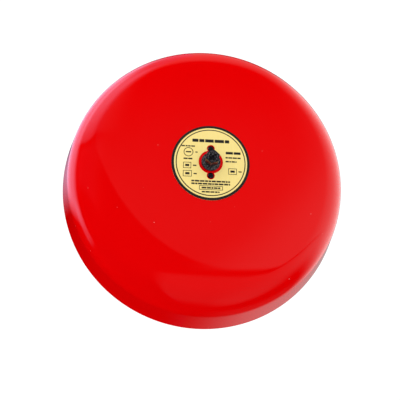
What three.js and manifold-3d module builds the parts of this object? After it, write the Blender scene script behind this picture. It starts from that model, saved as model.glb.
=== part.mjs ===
// Wall-mounted 24 V DC motor fire alarm bell with a 10 inch gong.
// Units are millimetres. Every piece is modelled in the bell's own frame: x to the right, y up and z
// outwards, with z = 0 on the wall. The last group turns that frame so that +Z is up and the gong faces -Y.
import * as THREE from "three";
import { mergeVertices } from "three/addons/utils/BufferGeometryUtils.js";
import Module from "manifold-3d";

const wasm = await Module();
wasm.setup();

// ---------- Driving dimensions ----------
const GAP = 0.1; // air between two fixed pieces that touch
const RUNNING = 0.08; // radial clearance of a turning or sliding fit
const EPS = 0.5; // how far a cutter overshoots the face that it cuts

const GONG_RADIUS = 127;
const GONG_DEPTH = 52; // rim to apex
const GONG_SHEET = 1.8;
const RIM_STANDOFF = 11; // wall to rim
const WALL_DRAFT = THREE.MathUtils.degToRad(18);
const SHOULDER_RADIUS = 26;
const CROWN_SLOPE = THREE.MathUtils.degToRad(8); // where the crown meets the shoulder
const FLAT_RADIUS = 35; // flat seat for the label
const APEX = RIM_STANDOFF + GONG_DEPTH;

const M2 = 1; // thread radii
const M3 = 1.5;
const M3_5 = 1.75;
const M6 = 3;

const LABEL_RADIUS = 31.75; // 2.5 inch diameter
const LABEL_SHEET = 0.25;
const LABEL_HOLE = 9.9;
const LABEL_EAR = 3.25;

const PIN_OFFSET = 11.5; // locating pins, above and below the centre
const PIN_RADIUS = 2.1;
const PIN_PROUD = 0.5; // height of the pin ends above the gong

const PLATE_SIZE = 104; // covers a 4 inch square box
const PLATE_CORNER = 12;
const PLATE_SHEET = 2;
const SLOT_WIDTH = 5.2;
const SLOT_RUN = 5; // straight length of a slot between its round ends
const BOX_EAR = 35.7; // 4 inch square box: screws at this x and y on one diagonal
const OCTAGON_EAR = 44.45; // octagon box: screws 88.9 mm apart

const DECK_BOTTOM = 31;
const DECK_SHEET = 2;
const DECK_TOP = DECK_BOTTOM + DECK_SHEET;

const MODULE = 0.8;
const PINION_TEETH = 12;
const GEAR_TEETH = 36;
const TOOTH_BACKLASH = 0.2;
const GEAR_AXIS = new THREE.Vector2(0, -28);
const MESH_ANGLE = THREE.MathUtils.degToRad(150); // direction from the gear to the motor
const MESH_DISTANCE = ((PINION_TEETH + GEAR_TEETH) * MODULE) / 2;
const MOTOR_AXIS = GEAR_AXIS.clone().add(
  new THREE.Vector2(Math.cos(MESH_ANGLE), Math.sin(MESH_ANGLE)).multiplyScalar(MESH_DISTANCE),
);
const MOTOR_RADIUS = 12.2;
const BOSS_RADIUS = 4; // round the motor's bearing

const STRIKER_Z = 20; // height of the striker's axis above the wall
const ROD_RADIUS = 3;
const CAM_MEAN = 7.75;
const CAM_LIFT = 1.75;

// ---------- Colours ----------
const finish = (color, roughness, metalness) =>
  new THREE.MeshStandardMaterial({ color, roughness, metalness });
const RED_PAINT = finish(0xe00008, 0.18, 0);
const GOLD_FOIL = finish(0xf3d878, 0.35, 0.3);
const BLACK_STEEL = finish(0x222126, 0.4, 0.7);
const BLACK_CASTING = finish(0x26262a, 0.55, 0.4);
const ZINC = finish(0xb9bcc0, 0.35, 0.9);
const BRIGHT_STEEL = finish(0xc9cbce, 0.22, 1);
const BRASS = finish(0xc9a24a, 0.3, 1);
const COPPER = finish(0xb4643a, 0.35, 1);
const FERRITE = finish(0x3a3a3e, 0.7, 0.1);
const NATURAL_NYLON = finish(0xe9e4d4, 0.45, 0);
const BLACK_NYLON = finish(0x1c1c1e, 0.5, 0);
const BLACK_RUBBER = finish(0x151515, 0.85, 0);
const BOARD_GREEN = finish(0x1f5c3a, 0.5, 0);
const TERMINAL_GREEN = finish(0x2f8f56, 0.45, 0);
const CAPACITOR_BLUE = finish(0x2a4f9a, 0.4, 0);
const LEAD_RED = finish(0xb01818, 0.5, 0);
const LEAD_BLACK = finish(0x18181a, 0.5, 0);

// ---------- Solids ----------
// A closed three.js geometry as a manifold-3d solid.
function solid(geometry) {
  const bare = new THREE.BufferGeometry();
  bare.setAttribute("position", geometry.getAttribute("position"));
  bare.setIndex(geometry.index);
  const merged = mergeVertices(bare, 1e-4);
  return new wasm.Manifold(
    new wasm.Mesh({
      numProp: 3,
      vertProperties: merged.getAttribute("position").array,
      triVerts: new Uint32Array(merged.index.array),
    }),
  );
}

function geometryOf(made) {
  const mesh = made.getMesh();
  const geometry = new THREE.BufferGeometry();
  geometry.setAttribute("position", new THREE.BufferAttribute(mesh.vertProperties, 3));
  geometry.setIndex(new THREE.BufferAttribute(mesh.triVerts, 1));
  geometry.computeVertexNormals();
  return geometry;
}

const cut = (body, ...tools) =>
  geometryOf(tools.reduce((left, tool) => left.subtract(solid(tool)), solid(body)));
const join = (body, ...others) =>
  geometryOf(others.reduce((sum, other) => sum.add(solid(other)), solid(body)));
const common = (a, b) => geometryOf(solid(a).intersect(solid(b)));

// A body of revolution about z, from [radius, z] points that start and end on the axis or close on themselves.
function turned(points, segments = 24) {
  const profile = points.map(([radius, z]) => new THREE.Vector2(radius, z));
  return new THREE.LatheGeometry(profile, segments).rotateX(Math.PI / 2);
}

const rod = (radius, from, to, segments = 24) =>
  turned([[0, from], [radius, from], [radius, to], [0, to]], segments);

const ring = (outer, inner, from, to, segments = 24) =>
  turned([[inner, from], [outer, from], [outer, to], [inner, to], [inner, from]], segments);

// A cutter for a round hole. Its polygon is drawn round the circle, so a round piece clears the hole.
const drill = (radius, from, to, sides = 16) =>
  rod(radius / Math.cos(Math.PI / sides), from, to, sides);

// A flat outline in x and y, extruded from one z to another.
function slab(shape, from, to, curveSegments = 8) {
  const options = { depth: to - from, bevelEnabled: false, curveSegments };
  return new THREE.ExtrudeGeometry(shape, options).translate(0, 0, from);
}

const at = (geometry, x, y, z = 0) => geometry.translate(x, y, z);

// Cuts a round hole in a flat outline. The polygon is drawn round the circle, so a round piece clears it.
function pierce(shape, x, y, radius, sides = 16) {
  const hole = new THREE.Path();
  const corner = radius / Math.cos(Math.PI / sides);
  for (let i = 0; i < sides; i++) {
    const angle = (2 * Math.PI * i) / sides;
    const point = [x + corner * Math.cos(angle), y + corner * Math.sin(angle)];
    if (i) hole.lineTo(...point);
    else hole.moveTo(...point);
  }
  hole.closePath();
  shape.holes.push(hole);
}

function roundedRectangle(left, bottom, right, top, radius) {
  const shape = new THREE.Shape();
  shape.absarc(right - radius, top - radius, radius, 0, Math.PI / 2);
  shape.absarc(left + radius, top - radius, radius, Math.PI / 2, Math.PI);
  shape.absarc(left + radius, bottom + radius, radius, Math.PI, 1.5 * Math.PI);
  shape.absarc(right - radius, bottom + radius, radius, 1.5 * Math.PI, 2 * Math.PI);
  shape.closePath();
  return shape;
}

const block = (left, bottom, right, top, from, to) =>
  new THREE.BoxGeometry(right - left, top - bottom, to - from).translate(
    (left + right) / 2,
    (bottom + top) / 2,
    (from + to) / 2,
  );

// An oblong hole's outline, centred on the origin, its length turned by angle.
function slotShape(width, run, angle) {
  const shape = new THREE.Shape();
  const end = new THREE.Vector2(Math.cos(angle), Math.sin(angle)).multiplyScalar(run / 2);
  shape.absarc(end.x, end.y, width / 2, angle - Math.PI / 2, angle + Math.PI / 2);
  shape.absarc(-end.x, -end.y, width / 2, angle + Math.PI / 2, angle + 1.5 * Math.PI);
  shape.closePath();
  return shape;
}

// A pan-head screw with its head's underside at z = 0 and its shank towards -z.
function panScrew(thread, length) {
  const head = thread * 1.87;
  const height = thread * 1.33;
  const profile = [[0, -length], [thread, -length], [thread, 0], [head, 0], [head, height * 0.55],
    [head * 0.72, height], [0, height]];
  return turned(profile, 12);
}

// ---------- Scene graph ----------
const bell = new THREE.Group();
bell.rotation.x = Math.PI / 2;

function add(group, name, geometry, material) {
  const mesh = new THREE.Mesh(geometry, material);
  mesh.name = name;
  group.add(mesh);
  return mesh;
}

// ---------- Gong, label and hub ----------
// The gong's skin from the flat to the rim: the sheet's outer side, then its inner side at depth = the sheet.
function gongSkin(depth) {
  const low = WALL_DRAFT; // angle of the normal above the radial direction
  const high = Math.PI / 2 - CROWN_SLOPE;
  const shoulderRise = SHOULDER_RADIUS * (Math.sin(high) - Math.sin(low));
  const shoulderRun = SHOULDER_RADIUS * (Math.cos(low) - Math.cos(high));
  const crownShare = Math.tan(CROWN_SLOPE / 2); // crown rise over crown run
  const crownSpan = GONG_RADIUS - shoulderRun - FLAT_RADIUS;
  const wallHeight =
    (GONG_DEPTH - shoulderRise - crownSpan * crownShare) / (1 - Math.tan(low) * crownShare);
  const wallTop = GONG_RADIUS - wallHeight * Math.tan(low);
  const crownEdge = wallTop - shoulderRun;
  const crownRadius = (crownEdge - FLAT_RADIUS) / Math.sin(CROWN_SLOPE);
  const centreR = wallTop - SHOULDER_RADIUS * Math.cos(low);
  const centreZ = RIM_STANDOFF + wallHeight - SHOULDER_RADIUS * Math.sin(low);

  const points = [];
  const CROWN_STEPS = 3;
  for (let i = 0; i <= CROWN_STEPS; i++) {
    const slope = (CROWN_SLOPE * i) / CROWN_STEPS;
    const radius = crownRadius - depth;
    points.push([FLAT_RADIUS + radius * Math.sin(slope), APEX - crownRadius + radius * Math.cos(slope)]);
  }
  const SHOULDER_STEPS = 6;
  for (let i = 1; i <= SHOULDER_STEPS; i++) {
    const angle = high + ((low - high) * i) / SHOULDER_STEPS;
    const radius = SHOULDER_RADIUS - depth;
    points.push([centreR + radius * Math.cos(angle), centreZ + radius * Math.sin(angle)]);
  }
  points.push([GONG_RADIUS - depth / Math.cos(low), RIM_STANDOFF]);
  return points;
}

function gong() {
  const HOLE = M6 + 0.4;
  const outer = gongSkin(0);
  const inner = gongSkin(GONG_SHEET).reverse();
  const profile = [[HOLE, APEX], ...outer, ...inner, [HOLE, APEX - GONG_SHEET], [HOLE, APEX]];
  const pinHole = (y) => at(drill(PIN_RADIUS + 0.5, APEX - 4, APEX + EPS, 12), 0, y);
  return cut(turned(profile.reverse(), 48), pinHole(PIN_OFFSET), pinHole(-PIN_OFFSET));
}

function label() {
  const bottom = APEX + GAP / 2;
  const top = bottom + LABEL_SHEET;
  const hole = (radius, y, segments) => at(rod(radius, bottom - EPS, top + EPS, segments), 0, y);
  return cut(
    rod(LABEL_RADIUS, bottom, top, 48),
    hole(LABEL_HOLE, 0, 32),
    hole(LABEL_EAR, PIN_OFFSET, 20),
    hole(LABEL_EAR, -PIN_OFFSET, 20),
  );
}

const WASHER_BORE = M6 + 0.2;
const WASHER_RADIUS = 7.75;
const WASHER_BOTTOM = APEX + GAP;
const WASHER_TOP = WASHER_BOTTOM + 1.6;
const SPRING_WASHER_RADIUS = 5.9;
const SPRING_WASHER_TOP = WASHER_TOP + GAP + 1.7;
const NUT_BOTTOM = SPRING_WASHER_TOP + GAP;
const NUT_HEIGHT = 10;
const NUT_ACROSS_FLATS = 10;
const NUT_TURN = THREE.MathUtils.degToRad(19);
const NUT_TOP = NUT_BOTTOM + NUT_HEIGHT;

function springWasher() {
  const SPLIT = 1;
  const SPLIT_TURN = -0.35;
  const body = ring(SPRING_WASHER_RADIUS, WASHER_BORE, WASHER_TOP + GAP, SPRING_WASHER_TOP, 28);
  const reach = SPRING_WASHER_RADIUS + EPS;
  const split = block(-SPLIT / 2, 0, SPLIT / 2, reach, WASHER_TOP - EPS, NUT_BOTTOM + EPS);
  return cut(body, split.rotateZ(SPLIT_TURN));
}

function gongNut() {
  const corner = NUT_ACROSS_FLATS / Math.sqrt(3);
  const chamfer = corner - NUT_ACROSS_FLATS * 0.475;
  const hexagon = new THREE.Shape();
  for (let i = 0; i < 6; i++) {
    const angle = (i * Math.PI) / 3 + NUT_TURN;
    const point = [corner * Math.cos(angle), corner * Math.sin(angle)];
    if (i) hexagon.lineTo(...point);
    else hexagon.moveTo(...point);
  }
  hexagon.closePath();
  const rise = chamfer * Math.tan(Math.PI / 6);
  const envelope = turned(
    [
      [0, NUT_BOTTOM],
      [corner - chamfer, NUT_BOTTOM],
      [corner, NUT_BOTTOM + rise],
      [corner, NUT_TOP - rise],
      [corner - chamfer, NUT_TOP],
      [0, NUT_TOP],
    ],
    36,
  );
  const bore = drill(M6 + GAP, NUT_BOTTOM - EPS, NUT_TOP + EPS);
  return cut(common(slab(hexagon, NUT_BOTTOM, NUT_TOP), envelope), bore);
}

const SEAT_TOP = APEX - GONG_SHEET - GAP;
const SEAT_RADIUS = 15.5;
const FLANGE_RADIUS = 17;
const FLANGE_TOP = 5.5;
const STEM_RADIUS = 8;
const STUD_FOOT = 44;
const PIN_FOOT = 57;
const PILLAR_SCREW_OFFSET = 12.6;

function gongPillar() {
  const base = PLATE_SHEET + GAP;
  const body = turned(
    [
      [0, base],
      [FLANGE_RADIUS, base],
      [FLANGE_RADIUS, FLANGE_TOP - 0.8],
      [FLANGE_RADIUS - 0.8, FLANGE_TOP],
      [STEM_RADIUS + 1.2, FLANGE_TOP],
      [STEM_RADIUS, FLANGE_TOP + 2.2],
      [STEM_RADIUS, SEAT_TOP - 7],
      [SEAT_RADIUS, SEAT_TOP - 4],
      [SEAT_RADIUS, SEAT_TOP],
      [0, SEAT_TOP],
    ],
    32,
  );
  const pinHole = (y) => at(drill(PIN_RADIUS + GAP, PIN_FOOT, SEAT_TOP + EPS, 12), 0, y);
  const screwHole = (x) => at(drill(M3_5 + GAP, 0, FLANGE_TOP + EPS, 12), x, 0);
  return cut(
    body,
    drill(M6 + GAP, STUD_FOOT, SEAT_TOP + EPS),
    pinHole(PIN_OFFSET),
    pinHole(-PIN_OFFSET),
    screwHole(PILLAR_SCREW_OFFSET),
    screwHole(-PILLAR_SCREW_OFFSET),
  );
}

add(bell, "gong", gong(), RED_PAINT);
add(bell, "label", label(), GOLD_FOIL);
const flatWasher = ring(WASHER_RADIUS, WASHER_BORE, WASHER_BOTTOM, WASHER_TOP, 32);
add(bell, "flat_washer", flatWasher, BLACK_STEEL);
add(bell, "spring_washer", springWasher(), BLACK_STEEL);
add(bell, "gong_nut", gongNut(), BLACK_STEEL);
add(bell, "gong_pillar", gongPillar(), BLACK_CASTING);

const STUD_TIP = NUT_TOP - 0.4;
const studProfile = [
  [0, STUD_FOOT + GAP],
  [M6, STUD_FOOT + GAP],
  [M6, STUD_TIP - 0.6],
  [M6 - 0.6, STUD_TIP],
  [1.1, STUD_TIP],
  [0, STUD_TIP - 1.1],
];
add(bell, "gong_stud", turned(studProfile, 16), BLACK_STEEL);

const pinTop = APEX + PIN_PROUD;
const pinProfile = [[0, PIN_FOOT + GAP], [PIN_RADIUS, PIN_FOOT + GAP], [PIN_RADIUS, pinTop - 0.4],
  [PIN_RADIUS - 0.4, pinTop], [0, pinTop]];
for (const [name, side] of [["upper", 1], ["lower", -1]]) {
  const pin = add(bell, `locating_pin_${name}`, turned(pinProfile, 12), BLACK_STEEL);
  pin.position.y = side * PIN_OFFSET;
}
for (const [index, side] of [[1, -1], [2, 1]]) {
  const screw = add(bell, `pillar_screw_${index}`, panScrew(M3_5, 5.2), ZINC);
  screw.position.set(side * PILLAR_SCREW_OFFSET, 0, FLANGE_TOP + GAP);
}

// ---------- Mounting plate ----------
const FOOT_RECESS = 0.2; // swaged ends stop this far above the wall
const STANDOFFS = [[-27, -43], [22.5, -42.5], [-27, 9]];
const BRACKET_SCREWS = [[-13.3, -47.7], [13.3, -47.7]];
const GROMMET = new THREE.Vector2(-15, 31);
const GROMMET_SEAT = 7;
const BOARD_POSTS = [[2, 40], [38, 22]];
const POST_RADIUS = 1.4;
const EARTH_SCREW = new THREE.Vector2(-41, -22);
const TENON_RADIUS = 2; // end of a standoff, swaged into the plate
const AXLE_RADIUS = 2;

function mountingPlate() {
  const half = PLATE_SIZE / 2;
  const shape = roundedRectangle(-half, -half, half, half, PLATE_CORNER);
  const slots = [
    [-BOX_EAR, BOX_EAR, -Math.PI / 4],
    [BOX_EAR, -BOX_EAR, -Math.PI / 4],
    [-OCTAGON_EAR, 0, Math.PI / 2],
    [OCTAGON_EAR, 0, Math.PI / 2],
  ].map(([x, y, angle]) =>
    at(slab(slotShape(SLOT_WIDTH, SLOT_RUN, angle), -EPS, PLATE_SHEET + EPS, 5), x, y),
  );
  pierce(shape, GROMMET.x, GROMMET.y, GROMMET_SEAT + GAP, 24);
  pierce(shape, GEAR_AXIS.x, GEAR_AXIS.y, AXLE_RADIUS + GAP);
  for (const [x, y] of STANDOFFS) pierce(shape, x, y, TENON_RADIUS + GAP, 12);
  for (const [x, y] of BOARD_POSTS) pierce(shape, x, y, POST_RADIUS + GAP, 12);
  for (const [x, y] of BRACKET_SCREWS) pierce(shape, x, y, M3 + GAP, 12);
  pierce(shape, EARTH_SCREW.x, EARTH_SCREW.y, M3_5 + GAP, 12);
  for (const side of [-1, 1]) pierce(shape, side * PILLAR_SCREW_OFFSET, 0, M3_5 + GAP, 12);
  return cut(slab(shape, 0, PLATE_SHEET, 6), ...slots);
}

function cableGrommet() {
  const BORE = 4.6;
  const REAR = 0.3; // the neck stops short of the wall
  const NECK = GROMMET_SEAT;
  const FACE = PLATE_SHEET + GAP;
  // The neck fills the plate's hole, and the lip spreads over the plate's front round it.
  return turned(
    [
      [BORE, REAR],
      [NECK, REAR],
      [NECK, FACE],
      [NECK + 2, FACE],
      [NECK + 1.4, FACE + 2],
      [BORE + 0.6, FACE + 2.6],
      [BORE, FACE + 2],
      [BORE, REAR],
    ],
    24,
  );
}

add(bell, "mounting_plate", mountingPlate(), ZINC);
add(bell, "cable_grommet", cableGrommet(), BLACK_RUBBER).position.set(GROMMET.x, GROMMET.y, 0);
const earthScrew = add(bell, "earth_screw", panScrew(M3_5, PLATE_SHEET - 0.1), BRASS);
earthScrew.position.set(EARTH_SCREW.x, EARTH_SCREW.y, PLATE_SHEET + GAP);

// ---------- Mechanism deck ----------
const MOTOR_SCREW_OFFSET = 8;
const motorScrews = [1, -1].map((side) =>
  new THREE.Vector2(-Math.sin(MESH_ANGLE), Math.cos(MESH_ANGLE))
    .multiplyScalar(side * MOTOR_SCREW_OFFSET)
    .add(MOTOR_AXIS),
);

function mechanismDeck() {
  const shape = roundedRectangle(-33, -49, 28.5, 14, 6);
  pierce(shape, 0, 0, STEM_RADIUS + 0.6, 24);
  pierce(shape, MOTOR_AXIS.x, MOTOR_AXIS.y, BOSS_RADIUS + 0.3, 20);
  pierce(shape, GEAR_AXIS.x, GEAR_AXIS.y, AXLE_RADIUS + GAP);
  for (const [x, y] of STANDOFFS) pierce(shape, x, y, M3 + GAP, 12);
  for (const { x, y } of motorScrews) pierce(shape, x, y, M2 + GAP, 12);
  return slab(shape, DECK_BOTTOM, DECK_TOP, 6);
}

const STANDOFF_TOP = DECK_BOTTOM - GAP;
const STANDOFF_RADIUS = 3.5;
const STANDOFF_BORE = M3 + 2 * GAP;
const STANDOFF_BORE_DEPTH = 8;
const standoffProfile = [
  [0, FOOT_RECESS],
  [TENON_RADIUS, FOOT_RECESS],
  [TENON_RADIUS, PLATE_SHEET + GAP],
  [STANDOFF_RADIUS, PLATE_SHEET + GAP],
  [STANDOFF_RADIUS, STANDOFF_TOP],
  [STANDOFF_BORE, STANDOFF_TOP],
  [STANDOFF_BORE, STANDOFF_TOP - STANDOFF_BORE_DEPTH],
  [0, STANDOFF_TOP - STANDOFF_BORE_DEPTH],
];

add(bell, "mechanism_deck", mechanismDeck(), ZINC);
STANDOFFS.forEach(([x, y], i) => {
  add(bell, `deck_standoff_${i + 1}`, turned(standoffProfile, 12), ZINC).position.set(x, y, 0);
  const screw = add(bell, `deck_screw_${i + 1}`, panScrew(M3, 7.5), ZINC);
  screw.position.set(x, y, DECK_TOP + GAP);
});

// ---------- Gears and cam ----------
const CAM_BOTTOM = 16;
const CAM_TOP = 24.2;
const GEAR_TOP = 29;
const HUB_BOTTOM = 12;

// An involute spur gear's outline. The tooth at angle 0 points along +x.
function gearShape(teeth, addendum) {
  const PRESSURE = THREE.MathUtils.degToRad(20);
  const pitch = (teeth * MODULE) / 2;
  const base = pitch * Math.cos(PRESSURE);
  const tip = pitch + addendum * MODULE;
  const root = pitch - 1.2 * MODULE;
  const involute = (radius) => {
    const alpha = Math.acos(Math.min(1, base / radius));
    return Math.tan(alpha) - alpha;
  };
  const halfAtPitch = Math.PI / (2 * teeth) - TOOTH_BACKLASH / (2 * pitch) / 2;
  const halfAt = (radius) => halfAtPitch + involute(pitch) - involute(Math.max(radius, base));
  const start = Math.max(root, base);
  const STEPS = 2;
  const flank = [[root, halfAt(start)]];
  if (base - root > 0.2) flank.push([base, halfAt(base)]);
  for (let i = 1; i <= STEPS; i++) {
    const radius = start + ((tip - start) * i) / STEPS;
    flank.push([radius, halfAt(radius)]);
  }
  const shape = new THREE.Shape();
  for (let tooth = 0; tooth < teeth; tooth++) {
    const middle = (2 * Math.PI * tooth) / teeth;
    const rising = flank.map(([radius, half]) => [radius, middle - half]);
    const falling = flank.map(([radius, half]) => [radius, middle + half]).reverse();
    for (const [radius, angle] of [...rising, ...falling]) {
      const point = [radius * Math.cos(angle), radius * Math.sin(angle)];
      if (shape.curves.length || shape.currentPoint.lengthSq()) shape.lineTo(...point);
      else shape.moveTo(...point);
    }
  }
  shape.closePath();
  return shape;
}

function camGear() {
  const LOBES = 2;
  const cam = new THREE.Shape();
  const POINTS = 48;
  for (let i = 0; i < POINTS; i++) {
    const angle = (2 * Math.PI * i) / POINTS;
    const radius = CAM_MEAN + CAM_LIFT * Math.cos(LOBES * angle);
    const point = [radius * Math.cos(angle), radius * Math.sin(angle)];
    if (i) cam.lineTo(...point);
    else cam.moveTo(...point);
  }
  cam.closePath();
  const body = join(
    slab(gearShape(GEAR_TEETH, 0.7), CAM_TOP, GEAR_TOP),
    slab(cam, CAM_BOTTOM, CAM_TOP + EPS),
    rod(4, HUB_BOTTOM, CAM_BOTTOM + EPS, 20),
  );
  return cut(body, drill(AXLE_RADIUS + RUNNING, HUB_BOTTOM - EPS, GEAR_TOP + EPS, 24));
}

const gear = add(bell, "cam_gear", camGear(), NATURAL_NYLON);
gear.position.set(GEAR_AXIS.x, GEAR_AXIS.y, 0);

const CLIP_SHEET = 0.6;
const CLIP_BOTTOM = DECK_TOP + 0.2;
const CLIP_TOP = CLIP_BOTTOM + CLIP_SHEET;
const AXLE_COLLAR_RADIUS = 3.2;
const AXLE_GROOVE_RADIUS = 1.5;
const AXLE_TIP = CLIP_TOP + 1;
const axleProfile = [
  [0, FOOT_RECESS],
  [AXLE_RADIUS, FOOT_RECESS],
  [AXLE_RADIUS, PLATE_SHEET + GAP],
  [AXLE_COLLAR_RADIUS, PLATE_SHEET + GAP],
  [AXLE_COLLAR_RADIUS, HUB_BOTTOM - GAP],
  [AXLE_RADIUS, HUB_BOTTOM - GAP],
  [AXLE_RADIUS, CLIP_BOTTOM - GAP],
  [AXLE_GROOVE_RADIUS, CLIP_BOTTOM - GAP],
  [AXLE_GROOVE_RADIUS, CLIP_TOP + GAP],
  [AXLE_RADIUS, CLIP_TOP + GAP],
  [AXLE_RADIUS - 0.3, AXLE_TIP],
  [0, AXLE_TIP],
];
const axle = add(bell, "cam_axle", turned(axleProfile, 24), BRIGHT_STEEL);
axle.position.set(GEAR_AXIS.x, GEAR_AXIS.y, 0);

function axleClip() {
  const body = ring(3.4, AXLE_GROOVE_RADIUS + GAP, CLIP_BOTTOM, CLIP_TOP, 24);
  const mouth = block(-1, 0, 1, 5, CLIP_BOTTOM - EPS, CLIP_TOP + EPS);
  return cut(body, mouth);
}
add(bell, "axle_clip", axleClip(), BLACK_STEEL).position.set(GEAR_AXIS.x, GEAR_AXIS.y, 0);

// ---------- Motor ----------
const motor = new THREE.Group();
motor.position.set(MOTOR_AXIS.x, MOTOR_AXIS.y, 0);
bell.add(motor);

const CAN_BOTTOM = DECK_TOP + GAP;
const CAN_TOP = 52;
const CAN_WALL = 0.9;
const CAP_TOP = 54.6;
const SHAFT_RADIUS = 1;
const BOSS_BOTTOM = 31.6;
const BEARING_RADIUS = 2.9;

function motorCan() {
  const floor = CAN_BOTTOM + 1;
  const body = turned(
    [
      [BEARING_RADIUS + GAP, BOSS_BOTTOM],
      [BOSS_RADIUS, BOSS_BOTTOM],
      [BOSS_RADIUS, CAN_BOTTOM],
      [MOTOR_RADIUS - 1, CAN_BOTTOM],
      [MOTOR_RADIUS, CAN_BOTTOM + 1],
      [MOTOR_RADIUS, CAN_TOP],
      [MOTOR_RADIUS - CAN_WALL, CAN_TOP],
      [MOTOR_RADIUS - CAN_WALL, floor],
      [BEARING_RADIUS + GAP, floor],
      [BEARING_RADIUS + GAP, BOSS_BOTTOM],
    ],
    32,
  );
  const screwHole = ({ x, y }) =>
    at(drill(M2 + GAP, CAN_BOTTOM - EPS, floor + EPS, 12), x - MOTOR_AXIS.x, y - MOTOR_AXIS.y);
  return cut(body, ...motorScrews.map(screwHole));
}

const TERMINAL_OFFSETS = [[-5.5, 4.4], [-5.5, -4.4]];

function motorEndCap() {
  const bottom = CAN_TOP + GAP;
  const body = turned(
    [
      [SHAFT_RADIUS + RUNNING, bottom],
      [MOTOR_RADIUS - 0.1, bottom],
      [MOTOR_RADIUS - 0.1, CAP_TOP - 0.5],
      [MOTOR_RADIUS - 0.6, CAP_TOP],
      [3.4, CAP_TOP],
      [3, CAP_TOP + 1],
      [0, CAP_TOP + 1],
      [0, CAP_TOP],
      [SHAFT_RADIUS + RUNNING, CAP_TOP],
      [SHAFT_RADIUS + RUNNING, bottom],
    ],
    32,
  );
  const slot = ([x, y]) => block(x - 0.4, y - 1.4, x + 0.4, y + 1.4, bottom - EPS, CAP_TOP + EPS);
  return cut(body, ...TERMINAL_OFFSETS.map(slot));
}

const COMMUTATOR_RADIUS = 2.6;
const TAB_TOP = 57.2;
const BRUSH_LEVEL = 50.4;

// A terminal blade through the end cap whose foot is bent inwards as the brush arm.
function motorTerminal([x, y]) {
  const blade = block(x - 0.3, y - 1.25, x + 0.3, y + 1.25, BRUSH_LEVEL, TAB_TOP);
  const side = Math.sign(y);
  const near = side * (COMMUTATOR_RADIUS + GAP);
  const arm = block(x, Math.min(y, near), 1.2, Math.max(y, near), BRUSH_LEVEL, BRUSH_LEVEL + 0.5);
  return join(blade, arm);
}

function armature() {
  const POLES = 3;
  const SHOE_OUTER = 7.8;
  const SHOE_INNER = 6.4;
  const core = [38, 47]; // bottom and top of the laminated core
  const winding = [36.4, 48.6];
  const half = THREE.MathUtils.degToRad(50);
  const pieces = [];
  for (let i = 0; i < POLES; i++) {
    const angle = (2 * Math.PI * i) / POLES;
    const shoe = new THREE.Shape();
    shoe.absarc(0, 0, SHOE_OUTER, -half, half);
    shoe.absarc(0, 0, SHOE_INNER, half, -half, true);
    shoe.closePath();
    pieces.push(slab(shoe, ...core, 6).rotateZ(angle));
    pieces.push(block(0, -1.5, 7, 1.5, ...core).rotateZ(angle));
    pieces.push(block(2.4, -3.2, 6.2, 3.2, ...winding).rotateZ(angle));
  }
  const body = join(rod(3, ...winding, 18), ...pieces);
  return cut(body, drill(SHAFT_RADIUS + GAP, winding[0] - EPS, winding[1] + EPS, 12));
}

function magnet() {
  const half = THREE.MathUtils.degToRad(66);
  const shape = new THREE.Shape();
  shape.absarc(0, 0, MOTOR_RADIUS - CAN_WALL - GAP, -half, half);
  shape.absarc(0, 0, 8.8, half, -half, true);
  shape.closePath();
  return slab(shape, 35.5, 49.5, 8);
}

add(motor, "motor_can", motorCan(), ZINC);
add(motor, "motor_end_cap", motorEndCap(), BLACK_NYLON);
const bearing = ring(BEARING_RADIUS, SHAFT_RADIUS + RUNNING, BOSS_BOTTOM, 35, 20);
add(motor, "motor_bearing", bearing, BRASS);
add(motor, "motor_magnet_right", magnet(), FERRITE);
add(motor, "motor_magnet_left", magnet().rotateZ(Math.PI), FERRITE);
TERMINAL_OFFSETS.forEach((offset, i) =>
  add(motor, `motor_terminal_${i + 1}`, motorTerminal(offset), BRASS),
);
add(motor, "motor_shaft", rod(SHAFT_RADIUS, 24, CAP_TOP - 0.2, 20), BRIGHT_STEEL);
add(motor, "armature", armature(), COPPER);
const commutator = ring(COMMUTATOR_RADIUS, SHAFT_RADIUS + GAP, 49.4, 51.6, 18);
add(motor, "commutator", commutator, COPPER);

// The gear has a tooth on the line to the motor, so the pinion turns half a tooth to offer it a space.
function motorPinion() {
  const PITCH_ANGLE = (2 * Math.PI) / PINION_TEETH;
  const body = slab(gearShape(PINION_TEETH, 0.9), CAM_TOP, GEAR_TOP);
  const facing = MESH_ANGLE + Math.PI; // from the motor back to the gear
  body.rotateZ(facing + PITCH_ANGLE / 2);
  return cut(body, drill(SHAFT_RADIUS + GAP / 2, CAM_TOP - EPS, GEAR_TOP + EPS, 12));
}
add(motor, "motor_pinion", motorPinion(), BRASS);

motorScrews.forEach(({ x, y }, i) => {
  const screw = add(bell, `motor_screw_${i + 1}`, panScrew(M2, 3), ZINC);
  screw.rotation.x = Math.PI; // driven from under the deck
  screw.position.set(x, y, DECK_BOTTOM - GAP);
});

// ---------- Striker ----------
// In this group z runs down from the bell's centre along the striker's axis, and y runs out from the wall.
const striker = new THREE.Group();
striker.position.z = STRIKER_Z;
striker.rotation.x = Math.PI / 2;
bell.add(striker);

const EAR_SHEET = 1.6;
const INNER_EAR = 45.5;
const OUTER_EAR = 88.5;
const BARREL_RADIUS = 5;
const FLANGE = 1.5;
const BUSH_FLANGE_RADIUS = 6.6;
const TAIL = -GEAR_AXIS.y + CAM_MEAN + CAM_LIFT + 0.4;
const COLLAR = 52.5;
const COLLAR_LENGTH = 3;
const HAMMER = 106;
const HAMMER_RADIUS = 6;
const TIP_RADIUS = 8;
const HAMMER_TIP = 119.4;

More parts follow.
